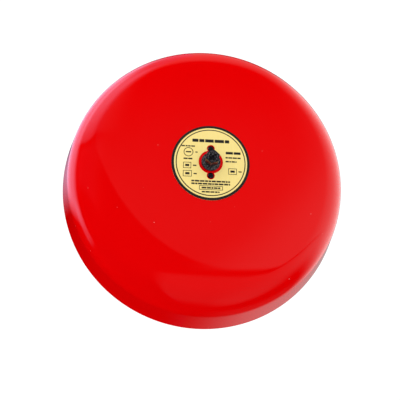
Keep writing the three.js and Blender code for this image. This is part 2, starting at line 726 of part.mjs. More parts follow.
function strikerBracket() {
  const STRIP = 9;
  const foot = [PLATE_SHEET + GAP, PLATE_SHEET + GAP + EAR_SHEET];
  const strip = block(-STRIP, -(OUTER_EAR + EAR_SHEET), STRIP, -44, ...foot);
  const tab = slab(roundedRectangle(-17.5, -51.5, 17.5, -44, 2), ...foot, 4);
  const ear = (distance) => {
    const shape = roundedRectangle(-8, foot[0], 8, 27.5, 0.1);
    pierce(shape, 0, STRIKER_Z, BARREL_RADIUS + GAP, 20);
    return slab(shape, 0, EAR_SHEET, 1).rotateX(Math.PI / 2).translate(0, -distance, 0);
  };
  const screwHole = ([x, y]) => at(drill(M3 + GAP, 0, 6, 12), x, y);
  const body = join(strip, tab, ear(INNER_EAR), ear(OUTER_EAR));
  return cut(body, ...BRACKET_SCREWS.map(screwHole));
}

// A flanged bush whose flange starts at one distance and whose barrel ends at another.
function bush(flangeFrom, barrelTo) {
  const bore = ROD_RADIUS + RUNNING;
  const step = Math.sign(barrelTo - flangeFrom);
  const flangeTo = flangeFrom + step * FLANGE;
  const points = [
    [bore, flangeFrom],
    [BUSH_FLANGE_RADIUS, flangeFrom],
    [BUSH_FLANGE_RADIUS, flangeTo],
    [BARREL_RADIUS, flangeTo],
    [BARREL_RADIUS, barrelTo],
    [bore, barrelTo],
    [bore, flangeFrom],
  ];
  return turned(step > 0 ? points : points.reverse(), 32);
}

function strikerHammer() {
  const centre = HAMMER_TIP - TIP_RADIUS;
  const edge = Math.asin(HAMMER_RADIUS / TIP_RADIUS);
  const STEPS = 5;
  const dome = [];
  for (let i = 0; i <= STEPS; i++) {
    const angle = edge * (1 - i / STEPS);
    dome.push([TIP_RADIUS * Math.sin(angle), centre + TIP_RADIUS * Math.cos(angle)]);
  }
  const socket = ROD_RADIUS + GAP;
  const profile = [[0, HAMMER + 5], [socket, HAMMER + 5], [socket, HAMMER],
    [HAMMER_RADIUS - 1, HAMMER], [HAMMER_RADIUS, HAMMER + 1], ...dome];
  return turned(profile, 24);
}

// A compression spring between the collar and the outer bush.
function strikerSpring() {
  const WIRE = 0.45;
  const COIL = 4.3;
  const TURNS = 8;
  const from = COLLAR + COLLAR_LENGTH + WIRE + GAP;
  const to = OUTER_EAR - GAP - FLANGE - WIRE - GAP;
  class Helix extends THREE.Curve {
    getPoint(t, target = new THREE.Vector3()) {
      const angle = 2 * Math.PI * TURNS * t;
      const rise = from + (to - from) * t;
      return target.set(COIL * Math.cos(angle), COIL * Math.sin(angle), rise);
    }
  }
  const section = new THREE.Shape();
  section.absarc(0, 0, WIRE, 0, 2 * Math.PI);
  const options = { steps: TURNS * 10, curveSegments: 3, extrudePath: new Helix() };
  return new THREE.ExtrudeGeometry(section, options);
}

add(bell, "striker_bracket", strikerBracket(), ZINC);
BRACKET_SCREWS.forEach(([x, y], i) => {
  const screw = add(bell, `bracket_screw_${i + 1}`, panScrew(M3, 3.4), ZINC);
  screw.position.set(x, y, PLATE_SHEET + EAR_SHEET + 2 * GAP);
});
const innerFlangeFar = INNER_EAR + EAR_SHEET + GAP + FLANGE;
add(striker, "striker_bush_inner", bush(innerFlangeFar, 44), NATURAL_NYLON);
add(striker, "striker_bush_outer", bush(OUTER_EAR - GAP - FLANGE, 93.5), NATURAL_NYLON);
const buffer = ring(6, ROD_RADIUS + 0.5, innerFlangeFar + GAP, COLLAR - GAP, 20);
add(striker, "striker_buffer", buffer, BLACK_RUBBER);
const rodProfile = [[0, TAIL], [1.6, TAIL], [ROD_RADIUS, TAIL + 1.2], [ROD_RADIUS, HAMMER + 4.5],
  [0, HAMMER + 4.5]];
add(striker, "striker_rod", turned(rodProfile, 32), BRIGHT_STEEL);
const collar = ring(5.6, ROD_RADIUS + GAP / 2, COLLAR, COLLAR + COLLAR_LENGTH, 24);
add(striker, "striker_collar", collar, BRASS);
add(striker, "striker_hammer", strikerHammer(), BRIGHT_STEEL);
add(striker, "striker_spring", strikerSpring(), BRIGHT_STEEL);

// ---------- Circuit board and terminals ----------
const BOARD_BOTTOM = 8;
const BOARD_TOP = BOARD_BOTTOM + 1.6;
const TERMINAL_COUNT = 4;
const TERMINAL_PITCH = 7;
const TERMINAL_LEFT = 8;
const TERMINAL_HEIGHT = 11;
const TERMINAL_FRONT = BOARD_TOP + GAP + TERMINAL_HEIGHT;
const terminalX = (i) => TERMINAL_LEFT + TERMINAL_PITCH * (i + 0.5);
const TERMINAL_Y = 37;
const TERMINAL_SCREW = 2;

function circuitBoard() {
  const shape = roundedRectangle(-2, 18, 42, 44, 1);
  for (const [x, y] of BOARD_POSTS) pierce(shape, x, y, POST_RADIUS + GAP, 12);
  return slab(shape, BOARD_BOTTOM, BOARD_TOP, 3);
}

function terminalBlock() {
  const right = TERMINAL_LEFT + TERMINAL_PITCH * TERMINAL_COUNT;
  const body = block(TERMINAL_LEFT, 31.5, right, 43.5, BOARD_TOP + GAP, TERMINAL_FRONT);
  const tools = [];
  for (let i = 0; i < TERMINAL_COUNT; i++) {
    const well = drill(TERMINAL_SCREW + 0.2, TERMINAL_FRONT - 6, TERMINAL_FRONT + EPS, 12);
    tools.push(at(well, terminalX(i), TERMINAL_Y));
    const entry = rod(1.9, 0, 8, 10).rotateX(-Math.PI / 2);
    tools.push(at(entry, terminalX(i), 36, BOARD_TOP + 3));
  }
  return cut(body, ...tools);
}

const boardPostProfile = [
  [0, FOOT_RECESS],
  [POST_RADIUS, FOOT_RECESS],
  [POST_RADIUS, PLATE_SHEET + GAP],
  [POST_RADIUS + 1.6, PLATE_SHEET + GAP],
  [POST_RADIUS + 1.6, BOARD_BOTTOM - GAP],
  [POST_RADIUS, BOARD_BOTTOM - GAP],
  [POST_RADIUS, BOARD_TOP + GAP],
  [POST_RADIUS + 0.5, BOARD_TOP + GAP],
  [POST_RADIUS - 0.5, BOARD_TOP + 1.6],
  [0, BOARD_TOP + 1.6],
];

add(bell, "circuit_board", circuitBoard(), BOARD_GREEN);
BOARD_POSTS.forEach(([x, y], i) => {
  const post = add(bell, `board_post_${i + 1}`, turned(boardPostProfile, 12), NATURAL_NYLON);
  post.position.set(x, y, 0);
});
add(bell, "terminal_block", terminalBlock(), TERMINAL_GREEN);
for (let i = 0; i < TERMINAL_COUNT; i++) {
  const screw = add(bell, `terminal_screw_${i + 1}`, rod(TERMINAL_SCREW, 0, 3.2, 12), ZINC);
  screw.position.set(terminalX(i), TERMINAL_Y, TERMINAL_FRONT - 4.4);
}
const capacitor = block(3.5, 22, 16.5, 28, BOARD_TOP + GAP, BOARD_TOP + 11);
add(bell, "suppression_capacitor", capacitor, CAPACITOR_BLUE);
const diode = rod(2.7, -4.5, 4.5, 18).rotateY(Math.PI / 2);
add(bell, "polarising_diode", at(diode, 26, 25, BOARD_TOP + GAP + 2.7), BLACK_NYLON);

// ---------- Motor leads ----------
// Each lead runs from the board round the deck's upper edge to a terminal on the motor's end cap.
const LEAD_RADIUS = 0.65;
const LEADS = {
  motor_lead_red: [
    [3.5, 20, BOARD_TOP + GAP], [3, 20, 13], [-3, 19.6, 19], [-11, 19, 26], [-19, 18, 33],
    [-26, 12.5, 40], [-30.5, 2, 46], [-30.8, -7, 52.6], [-27.4, -12.4, 56.2], [-22.7, -14, 56],
  ],
  motor_lead_black: [
    [6.5, 20, BOARD_TOP + GAP], [6.4, 20.2, 15], [1, 21.6, 21], [-9, 21.6, 28], [-19, 20.6, 36],
    [-28.5, 14, 43], [-33.8, 1, 48], [-34, -12, 52], [-30.8, -20.4, 55.6], [-22.7, -22.8, 56],
  ],
};

function lead(points) {
  const path = new THREE.CatmullRomCurve3(points.map((point) => new THREE.Vector3(...point)));
  const section = new THREE.Shape();
  section.absarc(0, 0, LEAD_RADIUS, 0, 2 * Math.PI);
  const options = { steps: 30, curveSegments: 3, extrudePath: path };
  return new THREE.ExtrudeGeometry(section, options);
}
add(bell, "motor_lead_red", lead(LEADS.motor_lead_red), LEAD_RED);
add(bell, "motor_lead_black", lead(LEADS.motor_lead_black), LEAD_BLACK);

const fireAlarmBell = new THREE.Group();
fireAlarmBell.add(bell);
export default fireAlarmBell;
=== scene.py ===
"""Looks of a wall-mounted motor fire alarm bell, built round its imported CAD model.

Shapes are made in the bell's own frame: millimetres, x to the right, y up and z out of the wall.
BELL carries them into the CAD frame, which is in metres with +Z up and the gong facing -Y.
"""

import math

import bmesh
import bpy
from mathutils import Euler, Matrix, Vector
from mathutils.geometry import tessellate_polygon


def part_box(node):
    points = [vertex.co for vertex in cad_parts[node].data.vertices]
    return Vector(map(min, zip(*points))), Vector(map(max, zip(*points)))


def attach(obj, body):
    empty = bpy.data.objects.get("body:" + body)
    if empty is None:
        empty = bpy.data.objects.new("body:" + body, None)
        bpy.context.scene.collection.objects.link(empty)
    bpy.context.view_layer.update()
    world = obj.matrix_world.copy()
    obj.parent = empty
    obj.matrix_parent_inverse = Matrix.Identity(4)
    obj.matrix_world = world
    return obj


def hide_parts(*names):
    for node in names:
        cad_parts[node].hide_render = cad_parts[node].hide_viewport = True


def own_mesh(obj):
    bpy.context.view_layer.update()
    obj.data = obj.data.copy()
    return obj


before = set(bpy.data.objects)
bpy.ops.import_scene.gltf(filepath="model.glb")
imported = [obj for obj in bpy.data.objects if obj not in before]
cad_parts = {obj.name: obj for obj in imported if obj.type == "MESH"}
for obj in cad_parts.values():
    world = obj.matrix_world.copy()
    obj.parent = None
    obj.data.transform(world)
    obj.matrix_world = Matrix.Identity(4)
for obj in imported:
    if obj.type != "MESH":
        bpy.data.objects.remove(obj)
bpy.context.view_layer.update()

MM = 0.001
BELL = Matrix(((MM, 0, 0, 0), (0, 0, -MM, 0), (0, MM, 0, 0), (0, 0, 0, 1)))
TURN = 2 * math.pi


def bell_box(node):
    """A CAD node's lowest and highest corners in the bell's frame."""
    low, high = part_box(node)
    return Vector((low.x, low.z, -high.y)) / MM, Vector((high.x, high.z, -low.y)) / MM


# ---------- Camera ----------
def make_camera():
    """Looks up at the front from below and a little to the left, as the photographer did."""
    camera = bpy.data.objects.new("camera", bpy.data.cameras.new("camera"))
    camera.location = (-0.0391, -0.364, -0.109)
    camera.rotation_euler = Euler([math.radians(a) for a in (110.02, -1.07, -4.93)])
    camera.data.lens = 36
    camera.data.sensor_width = 36
    camera.data.shift_x = 0.02
    camera.data.shift_y = -0.1
    camera.data.clip_start = 0.01
    bpy.context.scene.collection.objects.link(camera)
    bpy.context.scene.camera = camera
    bpy.context.scene.view_settings.view_transform = "Standard"


# ---------- Node trees ----------
class Tree:
    """Adds nodes to a shader tree. A value may be a number, a colour or another node's output."""

    def __init__(self, node_tree):
        self.nodes = node_tree.nodes
        self.links = node_tree.links
        self.nodes.clear()

    def add(self, kind, values=(), **settings):
        node = self.nodes.new(kind)
        for name, value in settings.items():
            setattr(node, name, value)
        for name, value in dict(values).items():
            self.put(node.inputs[name], value)
        return node

    def put(self, socket, value):
        if isinstance(value, bpy.types.NodeSocket):
            self.links.new(value, socket)
        else:
            socket.default_value = value

    def math(self, operation, *values):
        node = self.add("ShaderNodeMath", operation=operation)
        for socket, value in zip(node.inputs, values):
            self.put(socket, value)
        return node.outputs[0]

    def step(self, value, start, end):
        """0 before start and 1 after end, with a smooth rise between them. End may be below start."""
        values = {"Value": value, "From Min": start, "From Max": end}
        node = self.add("ShaderNodeMapRange", values, interpolation_type="SMOOTHSTEP")
        return node.outputs[0]

    def product(self, *values):
        result = values[0]
        for value in values[1:]:
            result = self.math("MULTIPLY", result, value)
        return result

    def total(self, *values):
        result = values[0]
        for value in values[1:]:
            result = self.math("ADD", result, value)
        return result

    def blend(self, fraction, a, b):
        """Colour a where fraction is 0 and colour b where it is 1."""
        node = self.add("ShaderNodeMix", data_type="RGBA")
        self.put(node.inputs[0], fraction)
        self.put(node.inputs[6], a)
        self.put(node.inputs[7], b)
        return node.outputs[2]

    def noise(self, scale, detail=3, rough=0.5, vector=None):
        values = {"Scale": scale, "Detail": detail, "Roughness": rough}
        node = self.add("ShaderNodeTexNoise", values)
        self.links.new(vector or self.place(), node.inputs["Vector"])
        return node.outputs["Fac"]

    def place(self, stretch=None):
        """The point in the object's own coordinates, in metres, stretched if asked."""
        point = self.add("ShaderNodeTexCoord").outputs["Object"]
        if stretch is None:
            return point
        node = self.add("ShaderNodeMapping", {"Vector": point, "Scale": stretch})
        return node.outputs["Vector"]

    def bump(self, height, distance, strength=1):
        values = {"Height": height, "Distance": distance, "Strength": strength}
        return self.add("ShaderNodeBump", values).outputs["Normal"]


# ---------- Studio ----------
WHITE = 1.1


def slanted(tree, value, other, slope, offset=0.0):
    """value + slope * other + offset, whose zero is a straight edge across the sky."""
    return tree.total(value, tree.math("MULTIPLY", other, slope), offset)


def right_lights(tree, toward, side, rise):
    """A tall window on the right, and the white wall behind it that the gong's own wall reflects."""
    window = tree.product(
        tree.step(side, 28, 105),
        tree.step(side, 150, 124),
        tree.step(rise, -34, -8),
        tree.step(rise, 68, 42),
        1.6,
    )
    wall = tree.product(
        tree.step(toward["X"], -0.15, 0.5),
        tree.step(toward["Y"], 0.55, 0.8),
        tree.step(rise, -44, -26),
        tree.step(rise, 34, 8),
        0.42,
    )
    skirting = tree.product(
        tree.step(toward["X"], 0.0, 0.4),
        tree.step(toward["Y"], 0.1, 0.4),
        tree.step(rise, -24, -40),
        0.06,
    )
    return tree.total(window, wall, skirting)


def left_lights(tree, side, rise):
    """A window on the left, the light over a dark doorway beside it, and a low pane."""
    window = tree.product(
        tree.step(side, -77, -97),
        tree.step(side, -172, -140),
        tree.step(slanted(tree, rise, side, 0.44, 51.8), -9, 7),
        tree.step(rise, 74, 54),
        1.5,
    )
    over_door = tree.product(
        tree.step(side, -15, -48),
        tree.step(side, -110, -84),
        tree.step(rise, 25.5, 28),
        tree.step(rise, 16, 46),
        tree.step(rise, 74, 52),
        1.35,
    )
    low_pane = tree.product(
        tree.step(side, -78, -86),
        tree.step(side, -106, -97),
        tree.step(rise, -28, -20),
        tree.step(rise, 2, -8),
        0.5,
    )
    return tree.total(window, over_door, low_pane)


def faint_lights(tree, side, rise):
    """The ceiling, what little the doorway gives, a haze over a curved sill, and its glow to the right."""
    ceiling = tree.math("MULTIPLY", tree.step(rise, 50, 70), 0.4)
    door = tree.product(
        tree.step(side, -95, -70),
        tree.step(side, -20, -26),
        tree.step(rise, 2, 10),
        tree.step(rise, 27, 22),
        0.05,
    )
    bend = tree.math("MINIMUM", tree.math("SUBTRACT", side, 15), 0)
    sill = tree.total(rise, 7.6, tree.product(bend, bend, -0.0186))
    haze = tree.product(
        tree.step(sill, -0.7, 0.7),
        tree.step(side, -32, -23),
        tree.step(side, 80, 40),
        tree.step(rise, 46, 4),
        0.13,
    )
    glow = tree.product(
        tree.step(slanted(tree, side, rise, -1.0), 6, 32),
        tree.step(side, 80, 50),
        tree.step(rise, -8.6, -7.2),
        tree.step(rise, 30, 4),
        0.25,
    )
    return tree.total(ceiling, door, haze, glow)


def table_light(tree, side, rise):
    """The table below the front, a little brighter to the right."""
    return tree.product(
        tree.step(slanted(tree, side, rise, -0.45), -5, 3),
        tree.step(side, 80, 50),
        tree.step(rise, -9.2, -10.8),
        tree.step(rise, -85, -55),
        tree.total(0.15, tree.math("MULTIPLY", tree.step(side, 8, 38), 0.1)),
    )


def even_light(tree, toward):
    """What matt surfaces gather: soft light from all round, stronger from above and behind."""
    uneven = tree.total(
        1.42,
        tree.math("MULTIPLY", toward["X"], -0.05),
        tree.math("MULTIPLY", toward["Y"], 0.55),
        tree.math("MULTIPLY", toward["Z"], 0.46),
    )
    return tree.math("MINIMUM", uneven, 1.385)


def make_world():
    """What gloss reflects is a light tent: a window on each side, a dark doorway on the left, a dark front
    where the camera stands, and a table below it. The camera sees plain white, and matt surfaces get even
    light. In degrees, side is the azimuth, 0 to the front and + to the right, and rise is the elevation.
    """
    world = bpy.data.worlds.new("studio")
    bpy.context.scene.world = world
    world.use_nodes = True
    tree = Tree(world.node_tree)
    direction = tree.add("ShaderNodeTexCoord").outputs["Generated"]
    toward = tree.add("ShaderNodeSeparateXYZ", {"Vector": direction}).outputs
    depth = tree.math("MULTIPLY", toward["Y"], -1)
    side = tree.math("DEGREES", tree.math("ARCTAN2", toward["X"], depth))
    rise = tree.math("DEGREES", tree.math("ARCSINE", toward["Z"]))
    level = tree.total(
        right_lights(tree, toward, side, rise),
        left_lights(tree, side, rise),
        faint_lights(tree, side, rise),
        table_light(tree, side, rise),
    )
    neutral, cool = (1, 1, 1, 1), (0.95, 0.88, 1.3, 1)
    tint = tree.blend(tree.step(side, -20, -30), neutral, cool)
    reflected = tree.blend(level, (0, 0, 0, 1), tint)
    reflected.node.clamp_factor = False

    path = tree.add("ShaderNodeLightPath").outputs
    seen = tree.blend(path["Is Glossy Ray"], even_light(tree, toward), reflected)
    colour = tree.blend(path["Is Camera Ray"], seen, (WHITE, WHITE, WHITE, 1))
    background = tree.add("ShaderNodeBackground", {"Color": colour})
    output = tree.add("ShaderNodeOutputWorld")
    tree.links.new(background.outputs[0], output.inputs["Surface"])


def area_light(name, place, target, size, power):
    """A soft panel that lights matt surfaces and doesn't show in gloss."""
    light = bpy.data.objects.new(name, bpy.data.lights.new(name, "AREA"))
    light.data.shape = "DISK"
    light.data.size = size
    light.data.energy = power
    light.location = place
    light.rotation_euler = (Vector(target) - Vector(place)).to_track_quat("-Z", "Y").to_euler()
    light.visible_glossy = False
    bpy.context.scene.collection.objects.link(light)


def make_floor():
    """A plain white floor far below. It only shows to the camera, so that gloss reflects the tent alone."""
    size = 6
    height = -0.6
    corners = [(-size, -size), (size, -size), (size, size), (-size, size)]
    mesh = bpy.data.meshes.new("floor")
    mesh.from_pydata([(x, y, height) for x, y in corners], [], [(0, 1, 2, 3)])
    floor = bpy.data.objects.new("floor", mesh)
    bpy.context.scene.collection.objects.link(floor)
    floor.visible_glossy = False
    floor.visible_diffuse = False
    floor.visible_shadow = False
    material = bpy.data.materials.new("floor_white")
    material.use_nodes = True
    tree = Tree(material.node_tree)
    white = tree.add("ShaderNodeEmission", {"Color": (1, 1, 1, 1), "Strength": WHITE})
    output = tree.add("ShaderNodeOutputMaterial")
    tree.links.new(white.outputs[0], output.inputs["Surface"])
    mesh.materials.append(material)


# ---------- Materials ----------
def principled(name, colour, roughness, metallic=0.0, coat=0.0, detail=None):
    """A Principled material. detail(tree, shader) adds its procedural nodes."""
    material = bpy.data.materials.new(name)
    material.use_nodes = True
    tree = Tree(material.node_tree)
    shader = tree.add("ShaderNodeBsdfPrincipled")
    shader.inputs["Base Color"].default_value = (*colour, 1)
    shader.inputs["Roughness"].default_value = roughness
    shader.inputs["Metallic"].default_value = metallic
    shader.inputs["Coat Weight"].default_value = coat
    shader.inputs["Coat Roughness"].default_value = 0.05
    if detail:
        detail(tree, shader)
    output = tree.add("ShaderNodeOutputMaterial")
    tree.links.new(shader.outputs[0], output.inputs["Surface"])
    return material


def gloss_red_paint():
    """Sprayed enamel: even red, a faint orange peel, and a few specks of dust under the gloss."""

    def detail(tree, shader):
        specks = tree.add("ShaderNodeTexVoronoi", {"Scale": 210.0, "Vector": tree.place()})
        near = tree.step(specks.outputs["Distance"], 0.085, 0.05)
        pick = tree.add("ShaderNodeSeparateColor", {"Color": specks.outputs["Color"]}).outputs[0]
        dust = tree.product(near, tree.step(pick, 0.93, 0.95))
        cloud = tree.noise(14, detail=2)
        base = tree.blend(cloud, (0.765, 0.0, 0.0, 1), (0.8, 0.0, 0.001, 1))
        tree.put(shader.inputs["Base Color"], tree.blend(dust, base, (0.95, 0.3, 0.28, 1)))
        rough = tree.total(0.02, tree.math("MULTIPLY", tree.noise(60), 0.03))
        tree.put(shader.inputs["Roughness"], tree.total(rough, tree.math("MULTIPLY", dust, 0.2)))
        peel = tree.math("ADD", tree.noise(420, detail=1), tree.math("MULTIPLY", dust, 0.6))
        tree.put(shader.inputs["Normal"], tree.bump(peel, 0.00001, 0.15))

    return principled("gloss_red_paint", (0.78, 0.0, 0.0), 0.035, detail=detail)


def gold_foil():
    """Printed gold foil: warm yellow with a fine brushed grain."""

    def detail(tree, shader):
        grain = tree.noise(900, detail=2, vector=tree.place((1, 1, 0.12)))
        tone = tree.blend(grain, (0.97, 0.74, 0.22, 1), (1.0, 0.82, 0.3, 1))
        tree.put(shader.inputs["Base Color"], tone)
        tree.put(shader.inputs["Roughness"], tree.total(0.34, tree.math("MULTIPLY", grain, 0.12)))
        tree.put(shader.inputs["Normal"], tree.bump(grain, 0.00001, 0.1))

    return principled("gold_foil", (0.98, 0.78, 0.26), 0.4, detail=detail)


def label_ink():
    """Black printing ink, a little thin in places."""

    def detail(tree, shader):
        fade = tree.noise(700, detail=3)
        tone = tree.blend(fade, (0.006, 0.005, 0.006, 1), (0.035, 0.028, 0.02, 1))
        tree.put(shader.inputs["Base Color"], tone)
        tree.put(shader.inputs["Roughness"], tree.total(0.3, tree.math("MULTIPLY", fade, 0.2)))

    return principled("label_ink", (0.015, 0.012, 0.012), 0.4, detail=detail)


def black_oxide():
    """Blackened steel whose sharp edges are painted lighter: partly worn bare steel, partly painted glints.
    """

    def detail(tree, shader):
        mottle = tree.noise(600, detail=5, rough=0.65)
        edge = tree.add("ShaderNodeNewGeometry").outputs["Pointiness"]
        # Convex edges lightened: worn bare steel, and painted glints standing in for highlights.
        wear_and_glint = tree.product(tree.step(edge, 0.52, 0.6), tree.step(mottle, 0.4, 0.62))
        dark = tree.blend(mottle, (0.006, 0.005, 0.008, 1), (0.026, 0.023, 0.032, 1))
        tree.put(shader.inputs["Base Color"], tree.blend(wear_and_glint, dark, (0.3, 0.29, 0.3, 1)))
        tree.put(shader.inputs["Roughness"], tree.total(0.12, tree.math("MULTIPLY", mottle, 0.2)))
        tree.put(shader.inputs["Normal"], tree.bump(mottle, 0.00003, 0.25))

    return principled("black_oxide", (0.03, 0.03, 0.035), 0.25, metallic=0.5, detail=detail)


def mottled(name, dark, light, roughness, metallic=0.0, scale=500, stretch=None, bump=0.00002,
            coat=0.0, scatter=0.0):
    """A finish whose colour, roughness and height all follow one grain."""
    middle = [(a + b) / 2 for a, b in zip(dark, light)]
    smooth, rough = roughness

    def detail(tree, shader):
        grain = tree.noise(scale, detail=5, rough=0.6, vector=tree.place(stretch))
        tree.put(shader.inputs["Base Color"], tree.blend(grain, (*dark, 1), (*light, 1)))
        spread = tree.math("MULTIPLY", grain, rough - smooth)
        tree.put(shader.inputs["Roughness"], tree.total(smooth, spread))
        tree.put(shader.inputs["Normal"], tree.bump(grain, bump, 0.4))
        shader.inputs["Subsurface Weight"].default_value = scatter
        shader.inputs["Subsurface Scale"].default_value = 0.001

    return principled(name, middle, (smooth + rough) / 2, metallic, coat, detail=detail)


def zinc_sheet():
    """Zinc-plated sheet: large faint spangles under a fine rolled grain."""

    def detail(tree, shader):
        spangle = tree.add("ShaderNodeTexVoronoi", {"Scale": 260.0, "Vector": tree.place()})
        shade = tree.add("ShaderNodeSeparateColor", {"Color": spangle.outputs["Color"]}).outputs[0]
        rolled = tree.noise(900, detail=3, vector=tree.place((0.06, 1, 1)))
        mix = tree.total(tree.math("MULTIPLY", shade, 0.45), tree.math("MULTIPLY", rolled, 0.55))
        tone = tree.blend(mix, (0.5, 0.52, 0.55, 1), (0.78, 0.8, 0.82, 1))
        tree.put(shader.inputs["Base Color"], tone)
        tree.put(shader.inputs["Roughness"], tree.total(0.24, tree.math("MULTIPLY", mix, 0.25)))
        tree.put(shader.inputs["Normal"], tree.bump(rolled, 0.00001, 0.3))

    return principled("zinc_sheet", (0.64, 0.66, 0.68), 0.36, metallic=1.0, detail=detail)


def gear_nylon():
    """Natural off-white nylon, slightly translucent."""
    return mottled("natural_nylon", (0.72, 0.68, 0.55), (0.84, 0.8, 0.68), (0.36, 0.5), scale=350,
                   scatter=0.15)


# ---------- Meshes ----------
SHARP = 35


def loft(rings, segments=96):
    """Vertices and faces through rings of (z, radius), where a radius is a number or a function of the angle.

    Rings that start and end on the axis make a turned solid, and rings that don't are closed into a tube.
    """
    points, rows, faces = [], [], []
    for z, radius in rings:
        if radius == 0:
            rows.append([len(points)])
            points.append((0, 0, z))
            continue
        row = []
        for i in range(segments):
            angle = TURN * i / segments
            reach = radius(angle) if callable(radius) else radius
            row.append(len(points))
            points.append((reach * math.cos(angle), reach * math.sin(angle), z))
        rows.append(row)
    pairs = list(zip(rows, rows[1:]))
    if len(rows[0]) > 1:
        pairs.append((rows[-1], rows[0]))
    for lower, upper in pairs:
        for i in range(segments):
            j = (i + 1) % segments
            if len(lower) == 1:
                faces.append((lower[0], upper[j], upper[i]))
            elif len(upper) == 1:
                faces.append((lower[i], lower[j], upper[0]))
            else:
                faces.append((lower[i], lower[j], upper[j], upper[i]))
    return points, faces


def prism(loops, bottom, top):
    """Vertices and faces of a flat piece: loops[0] is its outline and the other loops are its holes."""
    flat = [point for loop in loops for point in loop]
    count = len(flat)
    points = [(x, y, bottom) for x, y in flat] + [(x, y, top) for x, y in flat]
    caps = tessellate_polygon([[Vector((x, y, 0)) for x, y in loop] for loop in loops])
    faces = []
    for a, b, c in caps:
        ab = Vector(flat[b]) - Vector(flat[a])
        ac = Vector(flat[c]) - Vector(flat[a])
        if ab.cross(ac) < 0:
            b, c = c, b
        faces.append((a + count, b + count, c + count))
        faces.append((a, c, b))
    start = 0
    for hole, loop in enumerate(loops):
        area = sum(p[0] * q[1] - q[0] * p[1] for p, q in zip(loop, loop[1:] + loop[:1]))
        forward = (area > 0) != bool(hole)
        for i in range(len(loop)):
            a, b = start + i, start + (i + 1) % len(loop)
            if not forward:
                a, b = b, a
            faces.append((a, b, b + count, a + count))
        start += len(loop)
    return points, faces


def merged(*shapes):
    """Several (vertices, faces) as one."""
    points, faces = [], []
    for more_points, more_faces in shapes:
        start = len(points)
        points += more_points
        faces += [tuple(start + i for i in face) for face in more_faces]
    return points, faces


def circle(radius, x=0.0, y=0.0, count=96, start=0.0, end=TURN):
    """Points on an arc. A full circle leaves out its last point."""
    steps = count if end - start >= TURN - 1e-6 else count - 1
    angles = [start + (end - start) * i / steps for i in range(count)]
    return [(x + radius * math.cos(a), y + radius * math.sin(a)) for a in angles]


def make_mesh(name, shape, place=None, sharp=SHARP):
    """A smooth mesh in the CAD frame. Edges that turn by more than sharp degrees stay hard."""
    points, faces = shape
    mesh = bpy.data.meshes.new(name)
    mesh.from_pydata(points, [], faces)
    mesh.transform(BELL @ (place or Matrix()))
    mesh.update()
    mesh.shade_smooth()
    mesh.set_sharp_from_angle(angle=math.radians(sharp))
    return mesh


def piece(name, shape, material, body="base", replaces=(), place=None, sharp=SHARP):
    """A finished piece of the bell that rides on a body and stands for CAD nodes."""
    mesh = make_mesh(name, shape, place, sharp)
    mesh.materials.append(material)
    made = bpy.data.objects.new(name, mesh)
    bpy.context.scene.collection.objects.link(made)
    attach(made, body)
    if replaces:
        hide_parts(*replaces)
    return made


def cut(made, *tools):
    """Cuts closed shapes out of a piece."""
    for tool in tools:
        cutter = bpy.data.objects.new("cutter", make_mesh("cutter", tool))
        bpy.context.scene.collection.objects.link(cutter)
        modifier = made.modifiers.new("cut", "BOOLEAN")
        modifier.object = cutter
        modifier.solver = "EXACT"
        evaluated = made.evaluated_get(bpy.context.evaluated_depsgraph_get())
        mesh = bpy.data.meshes.new_from_object(evaluated)
        made.modifiers.clear()
        made.data = mesh
        bpy.data.objects.remove(cutter)
    made.data.shade_smooth()
    made.data.set_sharp_from_angle(angle=math.radians(SHARP))


def moved(shape, x, y, z=0.0):
    """A shape shifted in the bell's frame."""
    points, faces = shape
    return [(px + x, py + y, pz + z) for px, py, pz in points], faces


# ---------- Gong ----------
def arc(radius, centre_r, centre_z, start, end, steps):
    """(z, radius) rings along an arc. Angles are from the radial direction towards the front."""
    angles = [start + (end - start) * i / steps for i in range(steps + 1)]
    return [(centre_z + radius * math.sin(a), centre_r + radius * math.cos(a)) for a in angles]


GONG_SHEET = 1.8
RIM_EDGE = 0.5  # height of the rim's rounding
WALL_DRAFT = math.radians(18)
CROWN_SLOPE = math.radians(8)  # of the crown where it meets the shoulder
SHOULDER_RADIUS = 26
FLAT_RADIUS = 35  # seat for the label
STUD_HOLE = 3.4
PIN_HOLE = 2.6


def gong_skin(depth, low, high):
    """Rings from the flat seat to the rim. The outer skin is at depth 0, the inner at the sheet's depth."""
    radius = (high.x - low.x) / 2
    rim, apex = low.z, high.z
    steep, shallow = WALL_DRAFT, math.pi / 2 - CROWN_SLOPE
    rise = SHOULDER_RADIUS * (math.sin(shallow) - math.sin(steep))
    run = SHOULDER_RADIUS * (math.cos(steep) - math.cos(shallow))
    sag = math.tan(CROWN_SLOPE / 2)
    span = radius - run - FLAT_RADIUS
    wall = (apex - rim - rise - span * sag) / (1 - math.tan(steep) * sag)
    wall_top = radius - wall * math.tan(steep)
    crown_radius = (wall_top - run - FLAT_RADIUS) / math.sin(CROWN_SLOPE)
    shoulder_r = wall_top - SHOULDER_RADIUS * math.cos(steep)
    shoulder_z = rim + wall - SHOULDER_RADIUS * math.sin(steep)
    crown = arc(crown_radius - depth, FLAT_RADIUS, apex - crown_radius, math.pi / 2, shallow, 16)
    shoulder = arc(SHOULDER_RADIUS - depth, shoulder_r, shoulder_z, shallow, steep, 24)
    foot = (rim + RIM_EDGE, radius - depth / math.cos(steep) - RIM_EDGE * math.tan(steep))
    top = shoulder[-1]
    wall_rings = [(top[0] + (foot[0] - top[0]) * share, top[1] + (foot[1] - top[1]) * share)
                  for share in (0.1, 0.3, 0.6, 0.9, 0.98, 1)]
    return crown + shoulder[1:] + wall_rings


